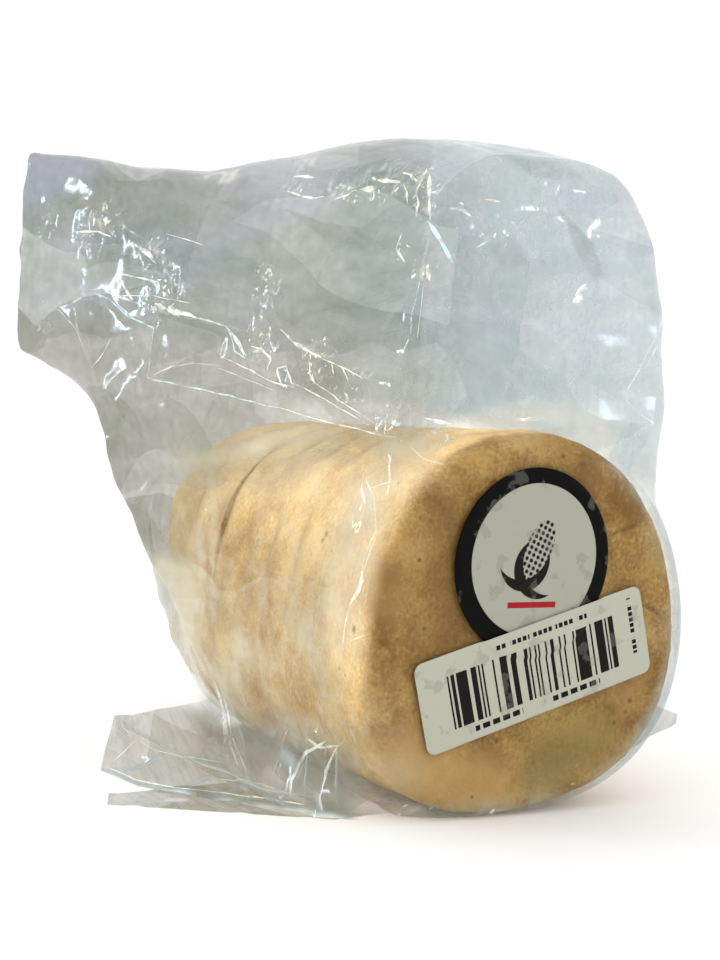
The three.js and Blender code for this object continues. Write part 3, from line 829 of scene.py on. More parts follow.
def film_panels():
    """The whole film, made as three panels that share their edges: the front, the row and the tail."""
    surface, normals = film_skin()
    shape = surface.shape[:2]
    points, normals = surface.reshape(-1, 3), normals.reshape(-1, 3)
    # The film's zones, by how far off the cakes it stands, which way it faces and where it lies.
    loose = looseness(points, *NEAR_LOOSE)
    afar = looseness(points, *FAR_LOOSE)
    faces_front = smooth_step(-normals[:, 1], 0.3, 0.65)
    on_left = smooth_step(-normals[:, 0], 0.25, 0.6) * (1 - faces_front)
    flat_front = np.maximum(smooth_step(-normals[:, 1], 0.8, 0.97), smooth_step(-points[:, 1], 58, 61.5))
    on_face = flat_front * (1 - loose)
    above_row = np.maximum(loose, smooth_step(points[:, 2], 98, 104))

    left_relief, left_crest = crease_relief(LEFT_CREASES, points[:, 1], points[:, 2])
    rim_relief, rim_crest = crease_relief(SIDE_CREASES, points[:, 1], points[:, 2])
    front_relief, front_crest = crease_relief(FRONT_CREASES, points[:, 0], points[:, 2])
    relief, folds = film_relief(points, loose, faces_front)
    relief = (relief * (1 - on_face) + on_left * (left_relief * above_row + rim_relief)
              + faces_front * loose * front_relief)
    folds *= (1 - 0.7 * on_face) * (1 - 0.7 * on_left * (1 - smooth_step(points[:, 2], 94, 104)))
    crests = on_left * (left_crest * above_row + rim_crest) + faces_front * loose * front_crest
    broken = np.clip(0.62 + 0.9 * soft_noise(points, 7, 55), 0.12, 1)
    moved = points + normals * relief[:, None]
    moved[:, 2] = np.maximum(moved[:, 2], 0)

    painted_shade = film_painted_shade(points, normals, on_left, faces_front)
    milk = milk_over_cakes(points, on_left)
    side_haze = haze_off_front(points, afar, milk)
    milky = (1 - on_face) * side_haze + on_face * (FACE_HAZE + spots(points, FACE_SMEARS))
    # Where the film stands clear of the cakes it is grey and milky, and along the floor it is pressed flat.
    past_right, along_floor = standing_clear(points)
    clear = np.clip(np.maximum(past_right, along_floor), 0, 1)
    pressed = soft_noise(points * (0.4, 0.4, 1), 3.6, 58)
    sparkling = along_floor * np.clip(0.4 + 1.5 * soft_noise(points, 10, 57), 0, 1)
    floor_glints = 0.25 * sparkling * np.clip(2 * pressed - 0.6, 0, 1)
    values = {
        "loose": np.maximum(afar, clear) * (1 - 0.45 * along_floor) * (1 - np.clip(2 * milk, 0, 0.9)),
        "haze": milky + clear * (CLEAR_HAZE - milky) + 0.2 * along_floor * pressed,
        "crushed": spots(points, CRUSHED_SPOTS) + 0.8 * sparkling,
        # Painted highlights: bright lines along the crests and fine folds, which also stand for the film's
        # whitening there, and painted glints along the floor.
        "crest": folds + floor_glints + CREST_PAINTED_HIGHLIGHT * broken * crests,
        # Painted reflection: the film towards the front right is tinted a lighter blue grey, as it reflects
        # bluish light.
        "painted_blue_light": smooth_step(points[:, 0] - 0.35 * points[:, 1], -24, 8),
        # Painted shade on the loose film, and along the floor painted shade under the front cake.
        "painted_shade": painted_shade * loose * (1 - np.clip(2 * milk, 0, 1)) + along_floor * (0.45 + 0.6 * pressed),
    }
    moved = moved.reshape(*shape, 3)
    values = {key: value.reshape(shape) for key, value in values.items()}
    front_end = CAP_ROWS + WALL_ROWS
    row_end = front_end + ROW_ROWS
    cuts = {
        "film_front": (0, front_end),
        "film_row": (front_end - 1, row_end),
        "film_tail": (row_end - 1, shape[0]),
    }
    return [grid_piece(name, moved[a:b], True, {key: value[a:b] for key, value in values.items()})
            for name, (a, b) in cuts.items()]


def flap_piece(name, shape, columns, rows, creases=(), haze=0.5, hangs=False):
    """A thin sheet of film between a low and a high edge, with soft creases. One that hangs fades upwards."""
    def edge(points):
        points = np.array(points, float)
        length = np.r_[0, np.cumsum(np.linalg.norm(np.diff(points, axis=0), axis=1))]
        wanted = np.linspace(0, length[-1], columns)
        return np.stack([np.interp(wanted, length, points[:, k]) for k in range(3)], axis=-1)
    low, high = edge(shape["low"]), edge(shape["high"])
    up, along = np.meshgrid(
        np.linspace(0, FLAP_HEIGHT, rows), np.linspace(0, FLAP_LENGTH, columns), indexing="ij")
    share = (up / FLAP_HEIGHT)[:, :, None]
    surface = low * (1 - share) + high * share
    normals = np.cross(np.gradient(surface, axis=1), np.gradient(surface, axis=0))
    normals /= np.linalg.norm(normals, axis=-1, keepdims=True)
    points = surface.reshape(-1, 3)
    relief, crest = crease_relief(creases, along.ravel(), up.ravel())
    relief += 0.7 * soft_noise(points, 16, 31)
    if hangs:
        from_top = smooth_step(FLAP_HEIGHT - up.ravel(), 0, 0.55 * FLAP_HEIGHT)
        clear_of_cakes = from_top * smooth_step(along.ravel(), 0, 0.15 * FLAP_LENGTH)
        clear_of_cakes *= smooth_step(FLAP_LENGTH - along.ravel(), 0, 0.08 * FLAP_LENGTH)
    else:
        low_side = 1 - up.ravel() / FLAP_HEIGHT
        clear_of_cakes = smooth_step(along.ravel() / FLAP_LENGTH + 0.3 * low_side, 0.3, 0.62)
    # A painted highlight along the low edge.
    painted_edge_shine = 0.7 * np.exp(-(up.ravel() / 0.9) ** 2) * np.clip(0.5 + soft_noise(points, 6, 33), 0, 1)
    fine, folds = crumple(points, 9, 32)
    relief += 0.8 * fine
    moved = points + normals.reshape(-1, 3) * relief[:, None]
    moved[:, 2] = np.maximum(moved[:, 2], 0.1)
    size = surface.shape[:2]
    values = {
        "loose": np.ones(size),
        "haze": ((haze + 0.1 * soft_noise(points, 11, 34)) * clear_of_cakes).reshape(size),
        "crest": (np.maximum(np.maximum(crest, painted_edge_shine), 0.3 * folds) * clear_of_cakes).reshape(size),
        "painted_shade": ((spots(points, PAINTED_SHADE_SPOTS) - 0.1) * clear_of_cakes).reshape(size),
        "crushed": np.zeros(size),
        "painted_blue_light": np.full(size, 0.15),
    }
    return grid_piece(name, moved.reshape(surface.shape), False, values)


# Where a ray that meets no film is taken to end, and how far out the rays start, in millimetres.
NOWHERE = -1e9
WELL_OUTSIDE = 300


def fold_strip(number, side, width, blueness, route, trees):
    """One fold with a painted highlight: a narrow ridge that lies on the film along its route, or None off
    the film.
    """
    names, turn, highlight_strength = FOLD_SIDES[side]
    across = Vector((math.cos(turn), math.sin(turn), 0))
    inward = Vector((math.sin(abs(turn)), math.cos(turn), 0))
    route = np.array(route, float)
    length = np.r_[0, np.cumsum(np.linalg.norm(np.diff(route, axis=0), axis=1))]
    along = np.linspace(0, length[-1], max(8, int(length[-1] / FOLD_STEP)))
    trace = np.stack([along, np.full(len(along), 7.0 * number), np.zeros(len(along))], axis=-1)
    places = np.stack([np.interp(along, length, route[:, k]) for k in range(2)], axis=-1)
    places[:, 1] += 0.3 * soft_noise(trace, 9, 92) * smooth_step(length[-1], 12, 30)
    hits, outwards = cast_on([trees[name] for name in names], places, across, inward)
    on_film = hits[:, 0] > NOWHERE
    trace, places, outwards = trace[on_film], hits[on_film], outwards[on_film]
    if len(places) < 4:
        return None
    sideways = np.cross(np.gradient(places, axis=0), outwards)
    sideways /= np.maximum(np.linalg.norm(sideways, axis=1, keepdims=True), 1e-9)
    uneven = np.clip(0.65 + 0.7 * soft_noise(trace, 4.5, 91), 0.25, 1)
    taper = np.sqrt(np.sin(np.pi * np.linspace(0, 1, len(places))) + 0.02)
    half = (0.5 * width * uneven * taper)[:, None]
    middle = places + outwards * FOLD_LIFT
    ridge = middle + outwards * FOLD_RISE * half
    surface = np.stack([middle + sideways * half, ridge, middle - sideways * half])
    bright = highlight_strength * np.clip(0.75 + 0.6 * soft_noise(trace, 6, 93), 0.3, 1)
    values = {"blue": np.full(surface.shape[:2], blueness), "bright": np.tile(bright, (3, 1))}
    return grid_piece("film_folds", surface, False, values)


def film_folds(film_pieces):
    """All the folds with painted highlights, joined as one piece."""
    depsgraph = bpy.context.evaluated_depsgraph_get()
    trees = {piece.name: BVHTree.FromObject(piece, depsgraph) for piece in film_pieces}
    every_fold = [(side, *fold) for side, folds in FOLDS.items() for fold in folds]
    strips = [fold_strip(number, *fold, trees) for number, fold in enumerate(every_fold)]
    strips = [strip for strip in strips if strip]
    bpy.ops.object.select_all(action="DESELECT")
    for strip in strips:
        strip.select_set(True)
    bpy.context.view_layer.objects.active = strips[0]
    bpy.ops.object.join()
    return strips[0]


def cast_on(trees, wall, across, inward):
    """Where points of a wall lie on the film that faces it, in millimetres, and the film's smoothed normals.

    A point with no film in front of it comes back at NOWHERE.
    """
    found = np.full((len(wall), 3), NOWHERE)
    outwards = np.tile(-np.array(inward), (len(wall), 1))
    for i, (along, up) in enumerate(wall):
        start = (across * along - inward * WELL_OUTSIDE + Vector((0, 0, up))) * MM
        hits = [hit for hit in (tree.ray_cast(start, inward) for tree in trees) if hit[0] is not None]
        if hits:
            place, normal = min(hits, key=lambda hit: hit[3])[:2]
            found[i] = np.array(place) / MM
            outwards[i] = np.array(normal) * (1 if normal.dot(inward) < 0 else -1)
    padded = np.pad(outwards, ((2, 2), (0, 0)), mode="edge")
    outwards = sum(padded[i:i + len(wall)] for i in range(5))
    return found, outwards / np.linalg.norm(outwards, axis=1, keepdims=True)


def fold_material():
    """Polyethylene film that is folded sharply: many thin layers, painted almost white as a highlight."""
    material, tree, place = new_material("polyethylene film, creased")
    blue, bright = (add_node(tree, "ShaderNodeAttribute", attribute_name=name).outputs["Fac"]
                    for name in ("blue", "bright"))
    # The painted highlight's colour: warm white, and blue white for the folds that catch the window's light.
    colour = add_node(tree, "ShaderNodeMix", {"Factor": blue},
                      {"A": linear("#FFFAE8"), "B": linear("#D3EEF8")}, data_type="RGBA").outputs[2]
    # The painted highlight breaks about 3 mm apart, where the fold would turn out of the light.
    breaks = add_node(tree, "ShaderNodeTexNoise", {"Vector": place},
                      {"Scale": 330.0, "Detail": 2.0}).outputs["Fac"]
    breaks = add_node(tree, "ShaderNodeMapRange", {"Value": breaks},
                      {"From Min": 0.36, "From Max": 0.52, "To Min": 0.35}).outputs["Result"]
    opacity = add_node(tree, "ShaderNodeMath", {0: breaks, 1: bright}, operation="MULTIPLY").outputs[0]
    shader = add_node(tree, "ShaderNodeBsdfPrincipled", {"Base Color": colour, "Alpha": opacity},
                      {"Roughness": 0.2, "IOR": 1.51, "Specular IOR Level": 0.8})
    add_node(tree, "ShaderNodeOutputMaterial", {"Surface": shader.outputs["BSDF"]})
    return material


def crushed_painted_glints(tree, place, crushed):
    """Painted glints: crushed film breaks into facets about 2 mm across, and a few of them are painted
    bright, as if they caught the light.
    """
    jitter = add_node(tree, "ShaderNodeTexNoise", {"Vector": place},
                      {"Scale": 500.0, "Detail": 0.0}).outputs["Color"]
    jagged = add_node(tree, "ShaderNodeVectorMath", {0: jitter, 2: place}, {1: (0.0035, 0.0035, 0.0035)},
                      operation="MULTIPLY_ADD").outputs[0]
    cells = add_node(tree, "ShaderNodeTexVoronoi", {"Vector": jagged}, {"Scale": 430.0}, distance="MANHATTAN")
    chance = add_node(tree, "ShaderNodeSeparateColor", {"Color": cells.outputs["Color"]}).outputs["Red"]
    lit = add_node(tree, "ShaderNodeMath", {0: chance}, {1: 0.8}, operation="GREATER_THAN").outputs[0]
    core = add_node(tree, "ShaderNodeMapRange", {"Value": cells.outputs["Distance"]},
                    {"From Min": 0.68, "From Max": 0.5}).outputs["Result"]
    painted_glint = add_node(tree, "ShaderNodeMath", {0: lit, 1: core}, operation="MULTIPLY").outputs[0]
    return add_node(tree, "ShaderNodeMath", {0: painted_glint, 1: crushed}, operation="MULTIPLY").outputs[0]


def drawn_streaks(tree, place):
    """Streaks about 4 mm wide and 25 mm long, as the film was drawn when it was blown."""
    drawn = add_node(tree, "ShaderNodeMapping", {"Vector": place},
                     {"Rotation": (math.radians(-9), 0, 0), "Scale": (1.0, 0.06, 0.4)}).outputs["Vector"]
    streaks = add_node(tree, "ShaderNodeTexNoise", {"Vector": drawn},
                       {"Scale": 620.0, "Detail": 2.0}).outputs["Fac"]
    return add_node(tree, "ShaderNodeMath", {0: streaks}, {1: 0.3, 2: -0.15},
                    operation="MULTIPLY_ADD").outputs[0]


def folded_place(tree, place):
    """The place on the film, warped and drawn out along the bag, which its folded patches follow."""
    warp = add_node(tree, "ShaderNodeTexNoise", {"Vector": place},
                    {"Scale": 26.0, "Detail": 0.0}).outputs["Color"]
    warped = add_node(tree, "ShaderNodeVectorMath", {0: warp, 2: place}, {1: (0.02, 0.02, 0.02)},
                      operation="MULTIPLY_ADD").outputs[0]
    return add_node(tree, "ShaderNodeMapping", {"Vector": warped},
                    {"Rotation": (math.radians(-12), 0, 0), "Scale": (0.8, 0.22, 0.8)}).outputs["Vector"]


def film_hue(tree, place, folded, painted_blue_light, painted_shade):
    """The hue of the loose film's haze, with painted tints of the light on it and the colour of its painted
    shade.
    """
    # Light through the pale cakes tints the film near them olive, and the room tints it higher up.
    up = add_node(tree, "ShaderNodeSeparateXYZ", {"Vector": place}).outputs["Z"]
    above = add_node(tree, "ShaderNodeMapRange", {"Value": up},
                     {"From Min": 0.115, "From Max": 0.137}).outputs["Result"]
    left_hue = add_node(tree, "ShaderNodeMix", {"Factor": above},
                        {"A": linear("#605F45"), "B": linear("#5A6352")}, data_type="RGBA").outputs[2]
    # Painted reflection: towards the front right the hue is a lighter blue grey.
    hue = add_node(tree, "ShaderNodeMix", {"Factor": painted_blue_light, "A": left_hue}, {"B": linear("#94A8AC")},
                   data_type="RGBA").outputs[2]
    # Slow changes of hue, lavender here and green there: painted tints of the light that thin layers reflect.
    layers = add_node(tree, "ShaderNodeTexNoise", {"Vector": folded},
                      {"Scale": 60.0, "Detail": 0.0}).outputs["Fac"]
    layers = add_node(tree, "ShaderNodeMapRange", {"Value": layers},
                      {"From Min": 0.48, "From Max": 0.68, "To Max": 0.5}).outputs["Result"]
    layers = add_node(tree, "ShaderNodeMath", {0: layers, 1: above}, operation="MULTIPLY").outputs[0]
    hue = add_node(tree, "ShaderNodeMix", {"Factor": layers, "A": hue}, {"B": linear("#8A8CA6")},
                   data_type="RGBA").outputs[2]
    # The painted shade's colour: olive low down and green higher up.
    shade = add_node(tree, "ShaderNodeMix", {"Factor": above},
                     {"A": linear("#565838"), "B": linear("#4A5C4F")}, data_type="RGBA").outputs[2]
    return add_node(tree, "ShaderNodeMix", {"Factor": painted_shade, "A": hue, "B": shade},
                    data_type="RGBA").outputs[2]


def film_material():
    """Blown polyethylene film: clear and glossy, with a milky haze, painted shade, and painted highlights
    that whiten it at folds and crushed facets.
    """
    material, tree, place = new_material("polyethylene film, blown")
    loose, haze, crushed, crest, painted_blue_light, painted_shade = (
        add_node(tree, "ShaderNodeAttribute", attribute_name=name).outputs["Fac"]
        for name in ("loose", "haze", "crushed", "crest", "painted_blue_light", "painted_shade"))
    painted_glint = crushed_painted_glints(tree, place, crushed)
    shine = add_node(tree, "ShaderNodeMath", {0: crest, 1: painted_glint}, operation="MAXIMUM").outputs[0]

    streaks = drawn_streaks(tree, place)
    veiling = add_node(tree, "ShaderNodeMapRange", {"Value": haze},
                       {"From Min": 0.02, "From Max": 0.25}).outputs["Result"]
    # Folded patches about 25 mm high and 90 mm long that lie over each other, some a little milkier.
    folded = folded_place(tree, place)
    patch = add_node(tree, "ShaderNodeTexVoronoi", {"Vector": folded}, {"Scale": 52.0}).outputs["Color"]
    patch = add_node(tree, "ShaderNodeSeparateColor", {"Color": patch}).outputs["Green"]
    patch = add_node(tree, "ShaderNodeMapRange", {"Value": patch},
                     {"To Min": -0.12, "To Max": 0.12}).outputs["Result"]
    uneven = add_node(tree, "ShaderNodeMath", {0: patch, 1: streaks}, operation="ADD").outputs[0]
    patched = add_node(tree, "ShaderNodeMath", {0: uneven, 1: veiling, 2: haze},
                       operation="MULTIPLY_ADD").outputs[0]
    darkened = add_node(tree, "ShaderNodeMath", {0: painted_shade, 2: patched}, {1: 0.18},
                        operation="MULTIPLY_ADD").outputs[0]
    opacity = add_node(tree, "ShaderNodeMath", {0: shine, 2: darkened}, {1: 0.95}, operation="MULTIPLY_ADD",
                       use_clamp=True).outputs[0]

    hue = film_hue(tree, place, folded, painted_blue_light, painted_shade)
    body = add_node(tree, "ShaderNodeMix", {"Factor": loose, "B": hue}, {"A": linear("#C9BFA2")},
                    data_type="RGBA").outputs[2]
    # The painted highlight is bluish in some stretches, about 70 mm apart, and creamy in others.
    warmth = add_node(tree, "ShaderNodeTexNoise", {"Vector": place}, {"Scale": 14.0}).outputs["Fac"]
    warmth = add_node(tree, "ShaderNodeMapRange", {"Value": warmth}, {"From Min": 0.42, "From Max": 0.58})
    white = add_node(tree, "ShaderNodeMix", {"Factor": warmth.outputs["Result"]},
                     {"A": linear("#DCEFF5"), "B": linear("#FFFBEA")}, data_type="RGBA").outputs[2]
    colour = add_node(tree, "ShaderNodeMix", {"Factor": shine, "A": body, "B": white},
                      data_type="RGBA").outputs[2]

    # Crushed film is also bumpy, in facets of 3 mm.
    edges = add_node(tree, "ShaderNodeTexVoronoi", {"Vector": place}, {"Scale": 330.0},
                     feature="DISTANCE_TO_EDGE").outputs["Distance"]
    facets = add_node(tree, "ShaderNodeMath", {0: edges, 1: crushed}, operation="MULTIPLY").outputs[0]
    height = add_node(tree, "ShaderNodeMath", {0: facets, 2: streaks}, {1: 4.0},
                      operation="MULTIPLY_ADD").outputs[0]
    bump = add_node(tree, "ShaderNodeBump", {"Height": height}, {"Strength": 0.3, "Distance": 0.0006})
    shader = add_node(tree, "ShaderNodeBsdfPrincipled",
                      {"Base Color": colour, "Alpha": opacity, "Normal": bump.outputs["Normal"]},
                      {"Roughness": 0.12, "IOR": 1.51, "Specular IOR Level": 0.9})
    add_node(tree, "ShaderNodeOutputMaterial", {"Surface": shader.outputs["BSDF"]})
    return material


# ---------------------------------------------------------------- the cakes

# The remeshed faces' size on the front cake and on the others.
FRONT_FACE_SIZE = 0.75
FACE_SIZE = 1.1
CAKE_INSET = 1.2
# How far the film stands off the cakes all round, and besides on their right.
FILM_SLACK = 0.4
RIGHT_SLACK = 1.3
# The cakes are soft and pressed together: each reaches a little into its neighbour, so that no gap shows.
CAKE_PRESS = 0.8
FRONT_FACE_INSET = 0.7
RIM_ROUNDING = 2.4
RIM_FILL = 0.9
GROOVE_CUT = 0.75
GROOVE_SHADE_WIDTH = 4.5
# Where the mottle is darkest, middling and lightest.
MOTTLE_STOPS = (0.5, 0.65, 0.82)


def rounded_disc(name, radius, middle, thickness, face_size):
    """A disc with rounded rims that stands on edge, remeshed to even faces."""
    bpy.ops.object.select_all(action="DESELECT")
    bpy.ops.mesh.primitive_cylinder_add(
        vertices=128, radius=radius * MM, depth=thickness * MM, rotation=(math.pi / 2, 0, 0),
        location=[part * MM for part in middle])
    piece = bpy.context.active_object
    piece.name = piece.data.name = name
    bpy.ops.object.transform_apply(location=True, rotation=True, scale=True)
    bevel = piece.modifiers.new("rounded rims", "BEVEL")
    bevel.width, bevel.segments, bevel.limit_method = RIM_ROUNDING * MM, 6, "ANGLE"
    bpy.ops.object.modifier_apply(modifier=bevel.name)
    remesh = piece.modifiers.new("even faces", "REMESH")
    remesh.mode, remesh.voxel_size = "VOXEL", face_size * MM
    bpy.ops.object.modifier_apply(modifier=remesh.name)
    return piece


def paint_cake(piece, points, leftwards, front, on_side, groove, cracks):
    """Writes the attributes that the dough's colours follow."""
    past_rim = smooth_step(points[:, 1] + 1.5 * soft_noise(points, 7, 95), -59, -54.5) if front else 1
    write_attribute(piece, "side", on_side * past_rim)
    write_attribute(piece, "groove", groove + on_side * past_rim * spots(points, SIDE_GOLDEN_SPOTS))
    write_attribute(piece, "crack", cracks)
    write_attribute(piece, "golden", spots(points, GOLDEN_SPOTS))
    write_attribute(piece, "olive", spots(points, OLIVE_SPOTS))
    write_attribute(piece, "dry_and_lit", spots(points, DRY_AND_LIT_SPOTS))
    # Painted light: the side is painted palest where it turns up to the light, and in a strip along the front
    # rim.
    strip = smooth_step(points[:, 1], -62, -58) * (1 - smooth_step(points[:, 1], -44, -34))
    strip *= smooth_step(leftwards, 20, 40) * smooth_step(points[:, 2], 20, 45)
    upper = smooth_step(points[:, 2] + 4 * soft_noise(points, 9, 96), 58, 84)
    write_attribute(piece, "pale", on_side * np.maximum(upper * past_rim, 0.95 * strip))


def cake(number):
    """One arepa: a thick disc with rounded rims, remeshed and then pressed into its own uneven shape."""
    middle_y = FRONT_Y + CAKE_THICKNESS * (number + 0.5)
    front = number == 0
    low_y = middle_y - CAKE_THICKNESS / 2 + (FRONT_FACE_INSET if front else -CAKE_PRESS)
    high_y = middle_y + CAKE_THICKNESS / 2 + (CAKE_PRESS if number < CAKE_COUNT - 1 else 0)
    radius = float(cake_radius(middle_y)) - CAKE_INSET
    axis_x, axis_z = (float(v) for v in cake_axis(middle_y))
    face_size = FRONT_FACE_SIZE if front else FACE_SIZE
    piece = rounded_disc(f"cake_{number + 1}", radius, (axis_x, (low_y + high_y) / 2, axis_z), high_y - low_y,
                         face_size)
    points, normals = read_points(piece), read_normals(piece)
    draw = np.random.default_rng(100 + number)
    dx, dz = points[:, 0] - axis_x, points[:, 2] - axis_z
    angle = np.arctan2(dz, dx)
    depth = radius - np.hypot(dx, dz)

    # The outline: this cake's own unevenness on top of the row's.
    shallow = 1 if not front else smooth_step(points[:, 1], middle_y, middle_y + 4)
    depth_change = shallow * RIM_FILL * np.minimum(depth, RIM_ROUNDING)
    own = 0.05 * np.cos(2 * angle + draw.uniform(0, 6.3)) + 0.03 * np.cos(5 * angle + draw.uniform(0, 6.3))
    rim = np.clip((FRONT_Y + RIM_LENGTH - points[:, 1]) / RIM_LENGTH, 0, 1)
    rim_drop = (RIM_DROP - RIM_ROUNDING) * (1 - np.sqrt(1 - rim * rim))
    slack = RIGHT_SLACK * smooth_step(np.cos(angle), 0.1, 0.95)
    # The last cakes lean out into the loose film at their upper left.
    lean = LEAN * smooth_step(middle_y, *LEAN_STRETCH) * towards(angle, LEAN_ANGLE, LEAN_SHARPNESS)
    growth = 1 + (cake_outline(middle_y, angle) + own + lean - FILM_SLACK - rim_drop - slack) / radius
    growth += depth_change / np.hypot(dx, dz)
    points[:, 0] = axis_x + dx * growth
    points[:, 2] = axis_z + dz * growth

    # The surface: lumps, the grooves between cakes and the front face's cracks.
    in_rim = (1 - smooth_step(depth, RIM_ROUNDING, RIM_ROUNDING + 1)) * shallow
    on_side = np.maximum(smooth_step(1 - np.abs(normals[:, 1]), 0.02, 0.5), in_rim)
    from_neighbour = CAKE_THICKNESS / 2 - np.abs(points[:, 1] - middle_y)
    lumps = 0.3 * soft_noise(points, 15, 41) + 0.2 * soft_noise(points, 6, 61)
    lumps += 0.14 * soft_noise(points, 3.2, 81)
    relief = (lumps - 0.35) * (0.35 + 0.65 * on_side)
    # The grooves show most on the upper half of the row's back, and are pressed shut elsewhere.
    open_groove = smooth_step(points[:, 2], 40, 68) * smooth_step(points[:, 1], -30, 0)
    broken = np.clip(0.3 + 1.4 * soft_noise(points * (1, 0.3, 1), 15, 91), 0, 1)
    open_groove = (0.12 + 0.88 * open_groove) * broken
    # The groove mask also carries painted shade into the dough's colour.
    groove = on_side * smooth_step(-from_neighbour, -GROOVE_SHADE_WIDTH, 0) * open_groove
    relief -= GROOVE_CUT * groove
    cracks = np.zeros(len(points))
    if front:
        valley, cracks = crease_relief(CRACKS, points[:, 0], points[:, 2])
        relief -= valley * (1 - on_side)
    outwards = np.stack([np.cos(angle), np.zeros(len(points)), np.sin(angle)], axis=-1)
    points += (normals + (outwards - normals) * np.reshape(in_rim, (-1, 1))) * relief[:, None]
    points[:, 2] = np.maximum(points[:, 2], 0.4)
    write_points(piece, points)
    paint_cake(piece, points, -dx, front, on_side, groove, cracks)
    only(piece)
    bpy.ops.object.shade_smooth()
    return piece


def burnt_specks(tree, place):
    """The larger burnt specks, and finer ones about 12 mm apart."""
    speck = add_node(tree, "ShaderNodeTexVoronoi", {"Vector": place}, {"Scale": 85.0}).outputs["Distance"]
    dark = add_node(tree, "ShaderNodeMapRange", {"Value": speck},
                    {"From Min": 0.06, "From Max": 0.03, "To Max": 0.55}).outputs["Result"]
    for x, y, z, radius in SPECKS:
        through = (1, SPECK_DEPTH, 1) if y < FRONT_SPECK_Y else (SPECK_DEPTH, 1, 1)
        away = add_node(tree, "ShaderNodeVectorMath", {0: place}, {1: (x * MM, y * MM, z * MM)},
                        operation="SUBTRACT").outputs[0]
        away = add_node(tree, "ShaderNodeVectorMath", {0: away}, {1: through},
                        operation="MULTIPLY").outputs[0]
        near = add_node(tree, "ShaderNodeVectorMath", {0: away}, operation="LENGTH").outputs["Value"]
        spot = add_node(tree, "ShaderNodeMapRange", {"Value": near},
                        {"From Min": (radius + SPECK_FADE) * MM, "From Max": SPECK_CORE * radius * MM,
                         "To Max": 0.9}).outputs["Result"]
        dark = add_node(tree, "ShaderNodeMath", {0: dark, 1: spot}, operation="MAXIMUM").outputs[0]
    return dark


